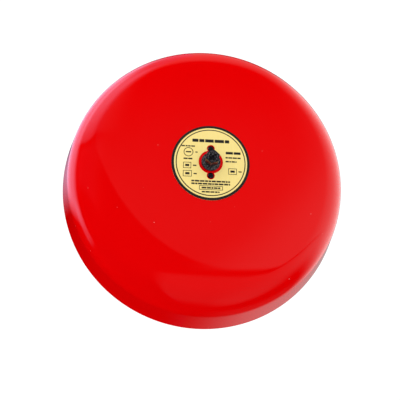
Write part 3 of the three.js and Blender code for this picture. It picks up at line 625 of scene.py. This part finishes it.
def make_gong(paint):
    """The gong's shell, with holes for the stud and the two locating pins."""
    low, high = bell_box("gong")
    outer = gong_skin(0, low, high)
    inner = gong_skin(GONG_SHEET, low, high)[::-1]
    foot_out, foot_in = outer[-1], inner[0]
    middle_z = foot_out[0]
    middle_r = (foot_out[1] + foot_in[1]) / 2
    half = (foot_out[1] - foot_in[1]) / 2
    angles = [-math.pi * i / 8 for i in range(1, 8)]
    rolled = [(middle_z + RIM_EDGE * math.sin(a), middle_r + half * math.cos(a)) for a in angles]
    chamfer = 0.3
    hole = [(high.z, STUD_HOLE + chamfer), (high.z - chamfer, STUD_HOLE)]
    back = [(high.z - GONG_SHEET, STUD_HOLE)]
    rings = hole[::-1] + outer + rolled + inner + back
    made = piece("gong_shell", loft(rings[::-1], 256), paint, replaces=["gong"])
    tools = []
    for node in ("locating_pin_upper", "locating_pin_lower"):
        pin_low, pin_high = bell_box(node)
        x, y = (pin_low.x + pin_high.x) / 2, (pin_low.y + pin_high.y) / 2
        start, end = high.z - 5, high.z + 1
        drill = [(start, 0), (start, PIN_HOLE), (end, PIN_HOLE), (end, 0)]
        tools.append(moved(loft(drill, 32), x, y))
    cut(made, *tools)


# ---------- Label ----------
LABEL_HOLE = 9.9
EAR_RADIUS = 3.25  # round each locating pin
PIN_OFFSET = 11.5
INK = 0.02  # thickness of the printing
BORDER = 2.1  # width of the black border
RING = (28.3, 27.5)  # outer and inner radius of the thin ring inside the border
BADGE = (-18.2, 7.9)
BADGE_RING = (3.9, 3.35)


def eared_hole(grow=0.0):
    """The label's clearance hole: a circle with a round ear at each locating pin."""
    hole, ear = LABEL_HOLE + grow, EAR_RADIUS + grow
    inner = math.acos((hole**2 + PIN_OFFSET**2 - ear**2) / (2 * hole * PIN_OFFSET))
    outer = math.pi - math.acos((ear**2 + PIN_OFFSET**2 - hole**2) / (2 * ear * PIN_OFFSET))
    quarter = math.pi / 2
    points = circle(hole, count=40, start=quarter + inner, end=3 * quarter - inner)
    points += circle(ear, 0, -PIN_OFFSET, 24, -quarter - outer, -quarter + outer)
    points += circle(hole, count=40, start=-quarter + inner, end=quarter - inner)
    points += circle(ear, 0, PIN_OFFSET, 24, quarter - outer, quarter + outer)
    return points


def bar(left, right, middle, height):
    """A filled rectangle between left and right, centred on the level middle."""
    low, high = middle - height / 2, middle + height / 2
    return [[(left, low), (right, low), (right, high), (left, high)]]


def frame_bars(left, right, low, high, line=0.45):
    """A rectangle's outline as one loop round another."""
    outside = [(left, low), (right, low), (right, high), (left, high)]
    inside = [(left + line, low + line), (right - line, low + line),
              (right - line, high - line), (left + line, high - line)]
    return [outside, inside]


def dashes(left, right, middle, height, seed, space=0.45):
    """A row of plain dashes of uneven length, where a real label has a line of small print."""
    made = []
    x = left
    count = 0
    while x < right - 0.6:
        length = height * (1.0 + 1.9 * abs(math.sin(seed + 2.4 * count)))
        end = min(x + length, right)
        made.append(bar(x, end, middle, height))
        x = end + space
        count += 1
    return made


def label_print():
    """Plain boxes, bars and dashes, given by left, right, level and height. There is no lettering."""
    rows = dashes(-15.2, 15.2, 18.2, 2.7, 3.6, 0.7)
    rows += dashes(-24, -12.4, 13, 1.1, 1)
    rows += dashes(-22, -14, 2.1, 1.2, 2)
    rows += [bar(-20.4, -16, 7.9, 1.1), bar(-12.6, -10.8, 7.9, 0.9)]
    rows += [frame_bars(-22.2, -15.8, -6.1, -0.9), bar(-20.6, -17.4, -3.5, 1.8)]
    rows += [frame_bars(-22.2, -15.2, -13, -7.8), bar(-20.4, -17, -10.4, 1.8)]
    rows += [bar(-14.4, -11.6, -3.5, 1.0), bar(-13.8, -11.2, -10.4, 1.0)]
    rows += dashes(12.2, 24.4, 8.3, 2.1, 5, 0.7)
    rows += dashes(12, 25.2, 4.2, 1.2, 6)
    rows += dashes(12, 21, 0.9, 1.2, 7)
    rows += [frame_bars(14.2, 21, -10, -4.8), bar(15.8, 19.4, -7.4, 1.8), bar(22.4, 25, -7.4, 1.0)]
    rows += dashes(-15.4, 15.4, -16.3, 1.3, 9)
    rows += dashes(-15.4, 15.4, -18.5, 1.3, 10)
    rows += [frame_bars(-9.2, 9.6, -23.4, -19.9)]
    rows += dashes(-7.2, 7.6, -21.7, 1.3, 11)
    rows += dashes(-7, 7, -25, 1.2, 12)
    return rows


def ring(radii, bottom, top, x=0.0, y=0.0, count=160):
    outer, inner = radii
    return prism([circle(outer, x, y, count), circle(inner, x, y, count)], bottom, top)


def make_label(foil, ink):
    """A foil disc with its printing as a thin raised layer."""
    low, high = bell_box("label")
    radius = (high.x - low.x) / 2
    sheet = prism([circle(radius, count=192), eared_hole()], low.z, high.z - INK)
    piece("label_foil", sheet, foil, replaces=["label"])
    bottom, top = high.z - INK, high.z
    shapes = [
        ring((radius, radius - BORDER), bottom, top, count=192),
        ring(RING, bottom, top),
        ring(BADGE_RING, bottom, top, *BADGE, 64),
    ]
    shapes += [prism(loops, bottom, top) for loops in label_print()]
    piece("label_print", merged(*shapes), ink)


# ---------- Hub ----------
THREAD_PITCH = 1.0
STUD_RADIUS = 3.0
NUT_ACROSS = 10
NUT_TURN = math.radians(19)
SPRING_WASHER_RADIUS = 5.9
SPLIT_TURN = 0.35  # radians clockwise of the top, where the spring washer is split


def rounded(outer, inner, bottom, top, edge):
    """Rings of a washer with rounded outer edges."""
    corner = [(bottom, outer - edge), (bottom + edge * 0.3, outer - edge * 0.3), (bottom + edge, outer)]
    corner += [(top - edge, outer), (top - edge * 0.3, outer - edge * 0.3), (top, outer - edge)]
    return [(bottom, inner)] + corner + [(top, inner)]


def threaded_rod(radius, bottom, top, pitch=THREAD_PITCH, depth=0.35, segments=48, steps=8):
    """A rod whose radius follows a rounded helical thread, with a chamfered and centre-drilled end."""

    def at_height(z):
        def radius_at(angle):
            wave = 0.5 + 0.5 * math.cos(TURN * (z / pitch) - angle)
            return radius - depth * (1 - wave) ** 1.2 - max(0.0, z - top + 0.7)

        return radius_at

    count = int((top - bottom) / pitch * steps)
    heights = [bottom + (top - bottom) * i / count for i in range(count + 1)]
    rings = [(bottom, 0)] + [(z, at_height(z)) for z in heights]
    rings += [(top, 1.25), (top - 0.15, 1.05), (top - 1.0, 0.45), (top - 1.15, 0)]
    return loft(rings, segments)


def hex_nut(across, bottom, top, bore):
    """A hexagon nut with both ends chamfered to 30 degrees and a countersunk bore."""
    corner = across / math.sqrt(3)

    def flat_to(limit):
        def radius_at(angle):
            sector = (angle - NUT_TURN) % (TURN / 6) - TURN / 12
            return min(across / 2 / math.cos(sector), limit)

        return radius_at

    face = across * 0.475
    steps = 6
    chamfer = (corner - face) * math.tan(math.radians(30))
    lower = [(bottom + chamfer * i / steps, flat_to(face + (corner - face) * i / steps))
             for i in range(steps + 1)]
    upper = [(top - chamfer * i / steps, flat_to(face + (corner - face) * i / steps))
             for i in range(steps, -1, -1)]
    sink = 0.5
    rings = [(bottom + sink, bore), (bottom, bore + sink)] + lower + upper
    rings += [(top, bore + sink), (top - sink, bore)]
    return loft(rings, 120)


def split_washer(outer, inner, bottom, top, gap=0.12, segments=96):
    """A spring washer: one turn of square wire whose ends stand a little apart."""
    lift = (top - bottom) * 0.16
    points, faces = [], []
    start = math.pi / 2 - SPLIT_TURN + gap / 2
    for i in range(segments + 1):
        share = i / segments
        angle = start + (TURN - gap) * share
        low = bottom + lift * share
        high = top - lift * (1 - share)
        for r, z in ((inner, low), (outer - 0.2, low), (outer, low + 0.2), (outer, high - 0.2),
                     (outer - 0.2, high), (inner, high)):
            points.append((r * math.cos(angle), r * math.sin(angle), z))
    for i in range(segments):
        for k in range(6):
            a, b = i * 6 + k, i * 6 + (k + 1) % 6
            faces.append((a, a + 6, b + 6, b))
    faces.append(tuple(range(6)))
    faces.append(tuple(segments * 6 + k for k in range(5, -1, -1)))
    return points, faces


def make_hub(steel):
    """The washers, nut and stud that hold the gong, and the pins that stop it turning."""
    low, high = bell_box("flat_washer")
    washer = loft(rounded((high.x - low.x) / 2, STUD_RADIUS + 0.2, low.z, high.z, 0.35), 96)
    piece("hub_washer", washer, steel, replaces=["flat_washer"])
    low, high = bell_box("spring_washer")
    spring = split_washer(SPRING_WASHER_RADIUS, STUD_RADIUS + 0.2, low.z, high.z)
    piece("hub_spring_washer", spring, steel, replaces=["spring_washer"])
    low, high = bell_box("gong_nut")
    nut = hex_nut(NUT_ACROSS, low.z, high.z, STUD_RADIUS + 0.05)
    piece("hub_nut", nut, steel, replaces=["gong_nut"], sharp=20)
    low, high = bell_box("gong_stud")
    stud = threaded_rod(STUD_RADIUS - 0.02, low.z, high.z)
    piece("hub_stud", stud, steel, replaces=["gong_stud"])
    for side in ("upper", "lower"):
        low, high = bell_box(f"locating_pin_{side}")
        radius = (high.x - low.x) / 2
        edge = 0.5
        rings = [(low.z, 0), (low.z, radius), (high.z - edge, radius)]
        rings += arc(edge, radius - edge, high.z - edge, 0, math.pi / 2, 5)[1:] + [(high.z, 0)]
        pin = moved(loft(rings, 40), (low.x + high.x) / 2, (low.y + high.y) / 2)
        piece(f"hub_pin_{side}", pin, steel, replaces=[f"locating_pin_{side}"])


# ---------- Mechanism ----------
ROD_RADIUS = 3
HEAD_TO_THREAD = 1.87  # a pan head's radius over its thread's
HEAD_HEIGHT = 1.33  # a pan head's height over its thread's radius


def refined(node, material, body="base", bevel=0.15, rounds=0, fatten=0.0):
    """The CAD node's own shape with its edges rounded and its curves shaded smooth."""
    form = bmesh.new()
    form.from_mesh(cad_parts[node].data)
    bmesh.ops.remove_doubles(form, verts=form.verts, dist=1e-6)
    flat = math.radians(0.5)
    bmesh.ops.dissolve_limit(form, angle_limit=flat, verts=form.verts, edges=form.edges)
    if fatten:
        form.normal_update()
        for vertex in form.verts:
            vertex.co += vertex.normal * fatten * MM
    if bevel:
        corners = [e for e in form.edges if e.is_manifold and e.calc_face_angle() > math.radians(38)]
        bmesh.ops.bevel(form, geom=corners, offset=bevel * MM, segments=2, profile=0.6,
                        affect="EDGES", clamp_overlap=True)
    mesh = bpy.data.meshes.new(node + "_fine")
    form.to_mesh(mesh)
    form.free()
    mesh.shade_smooth()
    if not rounds:
        mesh.set_sharp_from_angle(angle=math.radians(32))
    mesh.materials.append(material)
    made = bpy.data.objects.new(node + "_fine", mesh)
    bpy.context.scene.collection.objects.link(made)
    if rounds:
        smoothing = made.modifiers.new("rounds", "SUBSURF")
        smoothing.levels = rounds
        smoothing.render_levels = rounds
    else:
        evening = made.modifiers.new("even_faces", "WEIGHTED_NORMAL")
        evening.keep_sharp = True
        evening.weight = 100
    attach(made, body)
    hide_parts(node)
    return made


def turned_over(shape):
    """A shape turned half round the x axis."""
    points, faces = shape
    return [(x, -y, -z) for x, y, z in points], faces


def tube(path, radius, sides=12):
    """A round wire along a path, with flat ends."""
    points, faces = [], []
    path = [Vector(point) for point in path]
    side = None
    for i, middle in enumerate(path):
        ahead = (path[min(i + 1, len(path) - 1)] - path[max(i - 1, 0)]).normalized()
        if side is None:
            side = ahead.orthogonal()
        side = (side - ahead * side.dot(ahead)).normalized()
        other = ahead.cross(side)
        for k in range(sides):
            angle = TURN * k / sides
            points.append(tuple(middle + radius * (math.cos(angle) * side + math.sin(angle) * other)))
    for i in range(len(path) - 1):
        for k in range(sides):
            a, b = i * sides + k, i * sides + (k + 1) % sides
            faces.append((a, b, b + sides, a + sides))
    faces.append(tuple(range(sides - 1, -1, -1)))
    last = (len(path) - 1) * sides
    faces.append(tuple(last + k for k in range(sides)))
    return points, faces


def pan_screw(node, material, from_behind=False):
    """A pan-head screw with a cross recess and a cut thread, where its CAD node stands."""
    low, high = bell_box(node)
    middle = (low + high) / 2
    radius = (high.x - low.x) / 2
    thread = radius / HEAD_TO_THREAD
    height = thread * HEAD_HEIGHT
    length = high.z - low.z - height
    head = [(0, 0), (0, radius - 0.12), (0.12, radius), (height * 0.4, radius)]
    for i in range(1, 9):
        angle = math.pi / 2 * i / 8
        head.append((height * (0.4 + 0.6 * math.sin(angle)), radius * math.cos(angle) ** 0.55))
    head[-1] = (height, 0)
    arm, half = radius * 0.52, radius * 0.12
    plus = [(arm, -half), (arm, half), (half, half), (half, arm), (-half, arm), (-half, half),
            (-arm, half), (-arm, -half), (-half, -half), (-half, -arm), (half, -arm), (half, -half)]
    recess = prism([plus], height * 0.35, height + 1)
    shank = turned_over(threaded_rod(thread * 0.97, -0.05, length, pitch=thread * 0.34,
                                     depth=thread * 0.16, segments=24, steps=6))
    facing = Matrix.Rotation(math.pi, 4, "X") if from_behind else Matrix()
    seat = low.z + height if from_behind else low.z + length
    place = Matrix.Translation((middle.x, middle.y, seat)) @ facing
    shape = loft(head, 40)
    made = piece(node + "_fine", shape, material, replaces=[node])
    cut(made, recess)
    form = bmesh.new()
    form.from_mesh(made.data)
    form.from_mesh(make_mesh("shank", shank))
    form.to_mesh(made.data)
    form.free()
    made.data.transform(BELL @ place @ BELL.inverted())
    made.data.shade_smooth()
    made.data.set_sharp_from_angle(angle=math.radians(SHARP))


def spun(node, rings, material, body="base", segments=72, place=None):
    """A turned piece that stands for a CAD node. Without a place, it is centred on the node."""
    shape = loft(rings, segments)
    if place is None:
        low, high = bell_box(node)
        shape = moved(shape, (low.x + high.x) / 2, (low.y + high.y) / 2)
    return piece(node + "_fine", shape, material, body, [node], place)


def tube_rings(outer, inner, bottom, top, edge=0.15):
    """Rings of a plain tube with all its edges broken."""
    return [(bottom + edge, inner), (bottom, inner + edge), (bottom, outer - edge),
            (bottom + edge, outer), (top - edge, outer), (top, outer - edge),
            (top, inner + edge), (top - edge, inner)]


def make_plate(zinc, rubber, brass, fastener):
    """The mounting plate with its grommet, the pillar that carries the gong, and their screws."""
    refined("mounting_plate", zinc, bevel=0.3)
    low, high = bell_box("cable_grommet")
    lip = (high.x - low.x) / 2
    neck, bore = lip - 2, lip - 4.4
    face = bell_box("mounting_plate")[1].z + 0.1
    rings = [(low.z + 0.2, bore), (low.z, bore + 0.2), (low.z, neck - 0.3), (low.z + 0.3, neck),
             (face, neck), (face, lip - 0.3), (face + 0.3, lip), (face + 1.2, lip - 0.25),
             (high.z - 0.3, lip - 2.2), (high.z, bore + 1.2), (high.z - 0.15, bore + 0.45),
             (high.z - 0.7, bore)]
    spun("cable_grommet", rings, rubber)
    refined("gong_pillar", mottled("cast_black", (0.016, 0.016, 0.018), (0.04, 0.04, 0.043),
                                   (0.45, 0.65), 0.3, scale=700, bump=0.00008))
    for node in ("pillar_screw_1", "pillar_screw_2"):
        pan_screw(node, fastener)
    pan_screw("earth_screw", brass)


def make_deck(zinc, fastener, steel, brass, nylon, oxide):
    """The deck on its standoffs, and the gears."""
    refined("mechanism_deck", zinc, bevel=0.25)
    for i in (1, 2, 3):
        node = f"deck_standoff_{i}"
        low, high = bell_box(node)
        plate = bell_box("mounting_plate")[1].z
        radius, bore, foot, bore_depth = 3.5, 1.7, 2, 8
        rings = [(low.z, 0), (low.z, foot - 0.3), (low.z + 0.3, foot), (plate + 0.1, foot),
                 (plate + 0.1, radius - 0.3), (plate + 0.4, radius), (high.z - 0.4, radius),
                 (high.z, radius - 0.4), (high.z, bore + 0.3), (high.z - 0.3, bore),
                 (high.z - bore_depth, bore), (high.z - bore_depth - 0.8, 0)]
        spun(node, rings, fastener)
        pan_screw(f"deck_screw_{i}", fastener)
    refined("cam_gear", nylon, "cam", bevel=0.08)
    refined("cam_axle", steel)
    refined("axle_clip", oxide, bevel=0.08)
    refined("motor_pinion", brass, "rotor", bevel=0.06)


def make_motor(can_zinc, fastener, black_nylon, brass, steel, ferrite):
    """The motor's case, end cap, bearing, magnets, terminals and rotor, with its screws and leads."""
    enamel = mottled("enamelled_copper", (0.42, 0.12, 0.04), (0.7, 0.27, 0.1), (0.25, 0.4), 0.9,
                     scale=1800, stretch=(1, 0.05, 1), coat=0.5)
    refined("motor_can", can_zinc, bevel=0.3)
    refined("motor_end_cap", black_nylon, bevel=0.15)
    refined("motor_bearing", brass, bevel=0.1)
    for side in ("right", "left"):
        refined(f"motor_magnet_{side}", ferrite, bevel=0.3)
    for i in (1, 2):
        refined(f"motor_terminal_{i}", brass, bevel=0.06)
    refined("motor_shaft", steel, "rotor", bevel=0.15)
    refined("armature", enamel, "rotor", bevel=0.2)
    copper = mottled("turned_copper", (0.6, 0.24, 0.11), (0.82, 0.42, 0.24), (0.2, 0.35), 1.0,
                     scale=900, stretch=(0.1, 1, 0.1))
    refined("commutator", copper, "rotor", bevel=0.1)
    for i in (1, 2):
        pan_screw(f"motor_screw_{i}", fastener, from_behind=True)
    for colour, dark, light in (("red", (0.36, 0.006, 0.006), (0.5, 0.012, 0.01)),
                                ("black", (0.01, 0.01, 0.011), (0.022, 0.022, 0.024))):
        sleeve = mottled(f"pvc_{colour}", dark, light, (0.3, 0.42), scale=600)
        refined(f"motor_lead_{colour}", sleeve, bevel=0, rounds=2, fatten=0.09)


def downwards():
    """Carries a shape turned about z to the striker's axis, so that its z runs down from the centre."""
    low, high = bell_box("striker_rod")
    turn = Matrix(((1, 0, 0, 0), (0, 0, -1, 0), (0, 1, 0, 0), (0, 0, 0, 1)))
    return Matrix.Translation((0, 0, (low.z + high.z) / 2)) @ turn


def down_span(node):
    """How far below the centre a striker node starts and ends."""
    low, high = bell_box(node)
    return -high.y, -low.y


def make_striker(zinc, fastener, steel, brass, nylon, rubber):
    """The bracket, and the rod that slides in it with everything on it."""
    place = downwards()
    refined("striker_bracket", zinc, bevel=0.2)
    for node in ("bracket_screw_1", "bracket_screw_2"):
        pan_screw(node, fastener)
    start, end = down_span("striker_rod")
    rings = [(start, 0), (start, 1.4), (start + 0.2, 1.6), (start + 1.2, ROD_RADIUS - 0.1),
             (start + 1.5, ROD_RADIUS), (end - 0.3, ROD_RADIUS), (end, ROD_RADIUS - 0.3), (end, 0)]
    spun("striker_rod", rings, steel, "striker", place=place)
    start, end = down_span("striker_collar")
    collar = tube_rings(5.6, ROD_RADIUS + 0.05, start, end, 0.3)
    spun("striker_collar", collar, brass, "striker", place=place)
    make_hammer(steel, place)
    make_bushes(nylon, place)
    start, end = down_span("striker_buffer")
    buffer = tube_rings(6, ROD_RADIUS + 0.5, start, end, 0.4)
    spun("striker_buffer", buffer, rubber, place=place)
    make_spring(steel, place)


def make_hammer(steel, place):
    """A turned head on the rod, with a domed tip."""
    radius, dome, socket = 6, 8, 5
    start, end = down_span("striker_hammer")
    rings = [(start + socket, 0), (start + socket, ROD_RADIUS + 0.1), (start, ROD_RADIUS + 0.1),
             (start, radius - 1), (start + 0.3, radius - 0.3), (start + 1, radius)]
    widest = math.asin(radius / dome)
    for i in range(13):
        angle = widest * (1 - i / 12)
        rings.append((end - dome + dome * math.cos(angle), dome * math.sin(angle)))
    rings[-1] = (end, 0)
    spun("striker_hammer", rings, steel, "striker", place=place)


def make_bushes(nylon, place):
    """Two flanged bushes. The inner one has its flange at its lower end, the outer one at its upper end."""
    flange, barrel, thick = 6.6, 5, 1.5
    bore = ROD_RADIUS + 0.08
    start, end = down_span("striker_bush_inner")
    rings = [(start + 0.2, bore), (start, bore + 0.2), (start, barrel - 0.3), (start + 0.3, barrel),
             (end - thick, barrel), (end - thick, flange - 0.2), (end - thick + 0.2, flange),
             (end - 0.4, flange), (end, flange - 0.4), (end, bore + 0.3), (end - 0.3, bore)]
    spun("striker_bush_inner", rings, nylon, place=place)
    start, end = down_span("striker_bush_outer")
    rings = [(start + 0.3, bore), (start, bore + 0.3), (start, flange - 0.4), (start + 0.4, flange),
             (start + thick - 0.2, flange), (start + thick, flange - 0.2), (start + thick, barrel),
             (end - 0.4, barrel), (end, barrel - 0.4), (end, bore + 0.2), (end - 0.2, bore)]
    spun("striker_bush_outer", rings, nylon, place=place)


def make_spring(steel, place):
    """A compression spring of even pitch. It shortens towards the outer bush as the striker moves."""
    wire, coil, turns = 0.45, 4.3, 8
    start, end = down_span("striker_spring")
    start, end = start + wire, end - wire
    steps = turns * 36
    path = []
    for i in range(steps + 1):
        share = i / steps
        angle = TURN * turns * share
        path.append((coil * math.cos(angle), coil * math.sin(angle), start + (end - start) * share))
    spring = piece("striker_spring_fine", tube(path, wire), steel,
                   replaces=["striker_spring"], place=place)
    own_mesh(spring)


def make_board(nylon, fastener, black_nylon):
    """The circuit board on its posts, with the terminal block, the capacitor and the diode."""
    green = mottled("board_lacquer", (0.008, 0.1, 0.045), (0.015, 0.14, 0.06), (0.3, 0.42),
                    scale=1500, stretch=(1, 1, 0.2), coat=0.4)
    solder = mottled("solder", (0.5, 0.5, 0.52), (0.68, 0.68, 0.7), (0.2, 0.35), 1.0, scale=1500)
    refined("circuit_board", green, bevel=0.12)
    for i in (1, 2):
        refined(f"board_post_{i}", nylon, bevel=0.12)
    block = mottled("terminal_plastic", (0.02, 0.2, 0.07), (0.035, 0.27, 0.11), (0.34, 0.46),
                    scale=900)
    refined("terminal_block", block, bevel=0.25)
    for i in (1, 2, 3, 4):
        node = f"terminal_screw_{i}"
        low, high = bell_box(node)
        radius = (high.x - low.x) / 2
        edge = 0.4
        rings = [(low.z, 0), (low.z, radius), (high.z - edge, radius), (high.z, radius - edge), (high.z, 0)]
        made = spun(node, rings, fastener, segments=32)
        middle = (low + high) / 2
        slot = prism(bar(-radius - 1, radius + 1, 0, 0.6), high.z - 0.8, high.z + 1)
        cut(made, moved(slot, middle.x, middle.y))
    blue = mottled("capacitor_case", (0.02, 0.07, 0.28), (0.035, 0.11, 0.38), (0.26, 0.4), scale=800)
    refined("suppression_capacitor", blue, bevel=0.8)
    refined("polarising_diode", black_nylon, bevel=0.4)
    make_diode_ends(solder)


def make_diode_ends(solder):
    """The diode's cathode band, and its legs, soldered under the board."""
    board_back = bell_box("circuit_board")[0].z
    low, high = bell_box("polarising_diode")
    middle = (low + high) / 2
    band_low, band = high.x - 2.4, 2.74
    rings = [(band_low, band - 0.2), (band_low, band), (band_low + 0.9, band), (band_low + 0.9, band - 0.2)]
    sideways = Matrix.Translation((0, middle.y, middle.z)) @ Matrix.Rotation(math.pi / 2, 4, "Y")
    piece("diode_band", loft(rings, 64), solder, place=sideways)
    ends = []
    for edge, out in ((low.x, -1), (high.x, 1)):
        bend = edge + out * 2.2
        path = [(edge - out * 0.5, middle.y, middle.z), (bend - out * 0.8, middle.y, middle.z),
                (bend - out * 0.2, middle.y, middle.z - 0.3), (bend, middle.y, middle.z - 1),
                (bend, middle.y, board_back - 0.8)]
        ends.append(tube(path, 0.35))
        dome = [(-0.9, 0), (-0.7, 0.4), (-0.2, 0.7), (0.0, 1.1), (0.05, 0)]
        ends.append(moved(loft(dome, 20), bend, middle.y, board_back))
    piece("diode_legs", merged(*ends), solder)


make_camera()
make_world()
area_light("key", (-0.7, -0.6, 1.0), (0, 0, 0.1), 0.8, 1)
make_floor()
RED_PAINT = gloss_red_paint()
BLACK_OXIDE = black_oxide()
make_gong(RED_PAINT)
make_label(gold_foil(), label_ink())
make_hub(BLACK_OXIDE)
ZINC = zinc_sheet()
FASTENER = mottled("zinc_fastener", (0.5, 0.52, 0.55), (0.75, 0.77, 0.78), (0.25, 0.4), 1.0, scale=1400)
STEEL = mottled("ground_steel", (0.55, 0.55, 0.56), (0.74, 0.74, 0.75), (0.14, 0.3), 1.0, scale=500,
                stretch=(0.2, 0.2, 4))
BRASS = mottled("turned_brass", (0.58, 0.39, 0.13), (0.8, 0.6, 0.25), (0.2, 0.36), 1.0, scale=900)
RUBBER = mottled("black_rubber", (0.011, 0.011, 0.012), (0.026, 0.026, 0.027), (0.6, 0.85), scale=900,
                 bump=0.00005)
BLACK_NYLON = mottled("black_nylon", (0.012, 0.012, 0.013), (0.028, 0.028, 0.03), (0.38, 0.52), scale=800)
FERRITE = mottled("ferrite", (0.035, 0.035, 0.04), (0.08, 0.08, 0.085), (0.6, 0.8), scale=1200, bump=0.00006)
NYLON = gear_nylon()
make_plate(ZINC, RUBBER, BRASS, FASTENER)
make_deck(ZINC, FASTENER, STEEL, BRASS, NYLON, BLACK_OXIDE)
make_motor(ZINC, FASTENER, BLACK_NYLON, BRASS, STEEL, FERRITE)
make_striker(ZINC, FASTENER, STEEL, BRASS, NYLON, RUBBER)
make_board(NYLON, FASTENER, BLACK_NYLON)
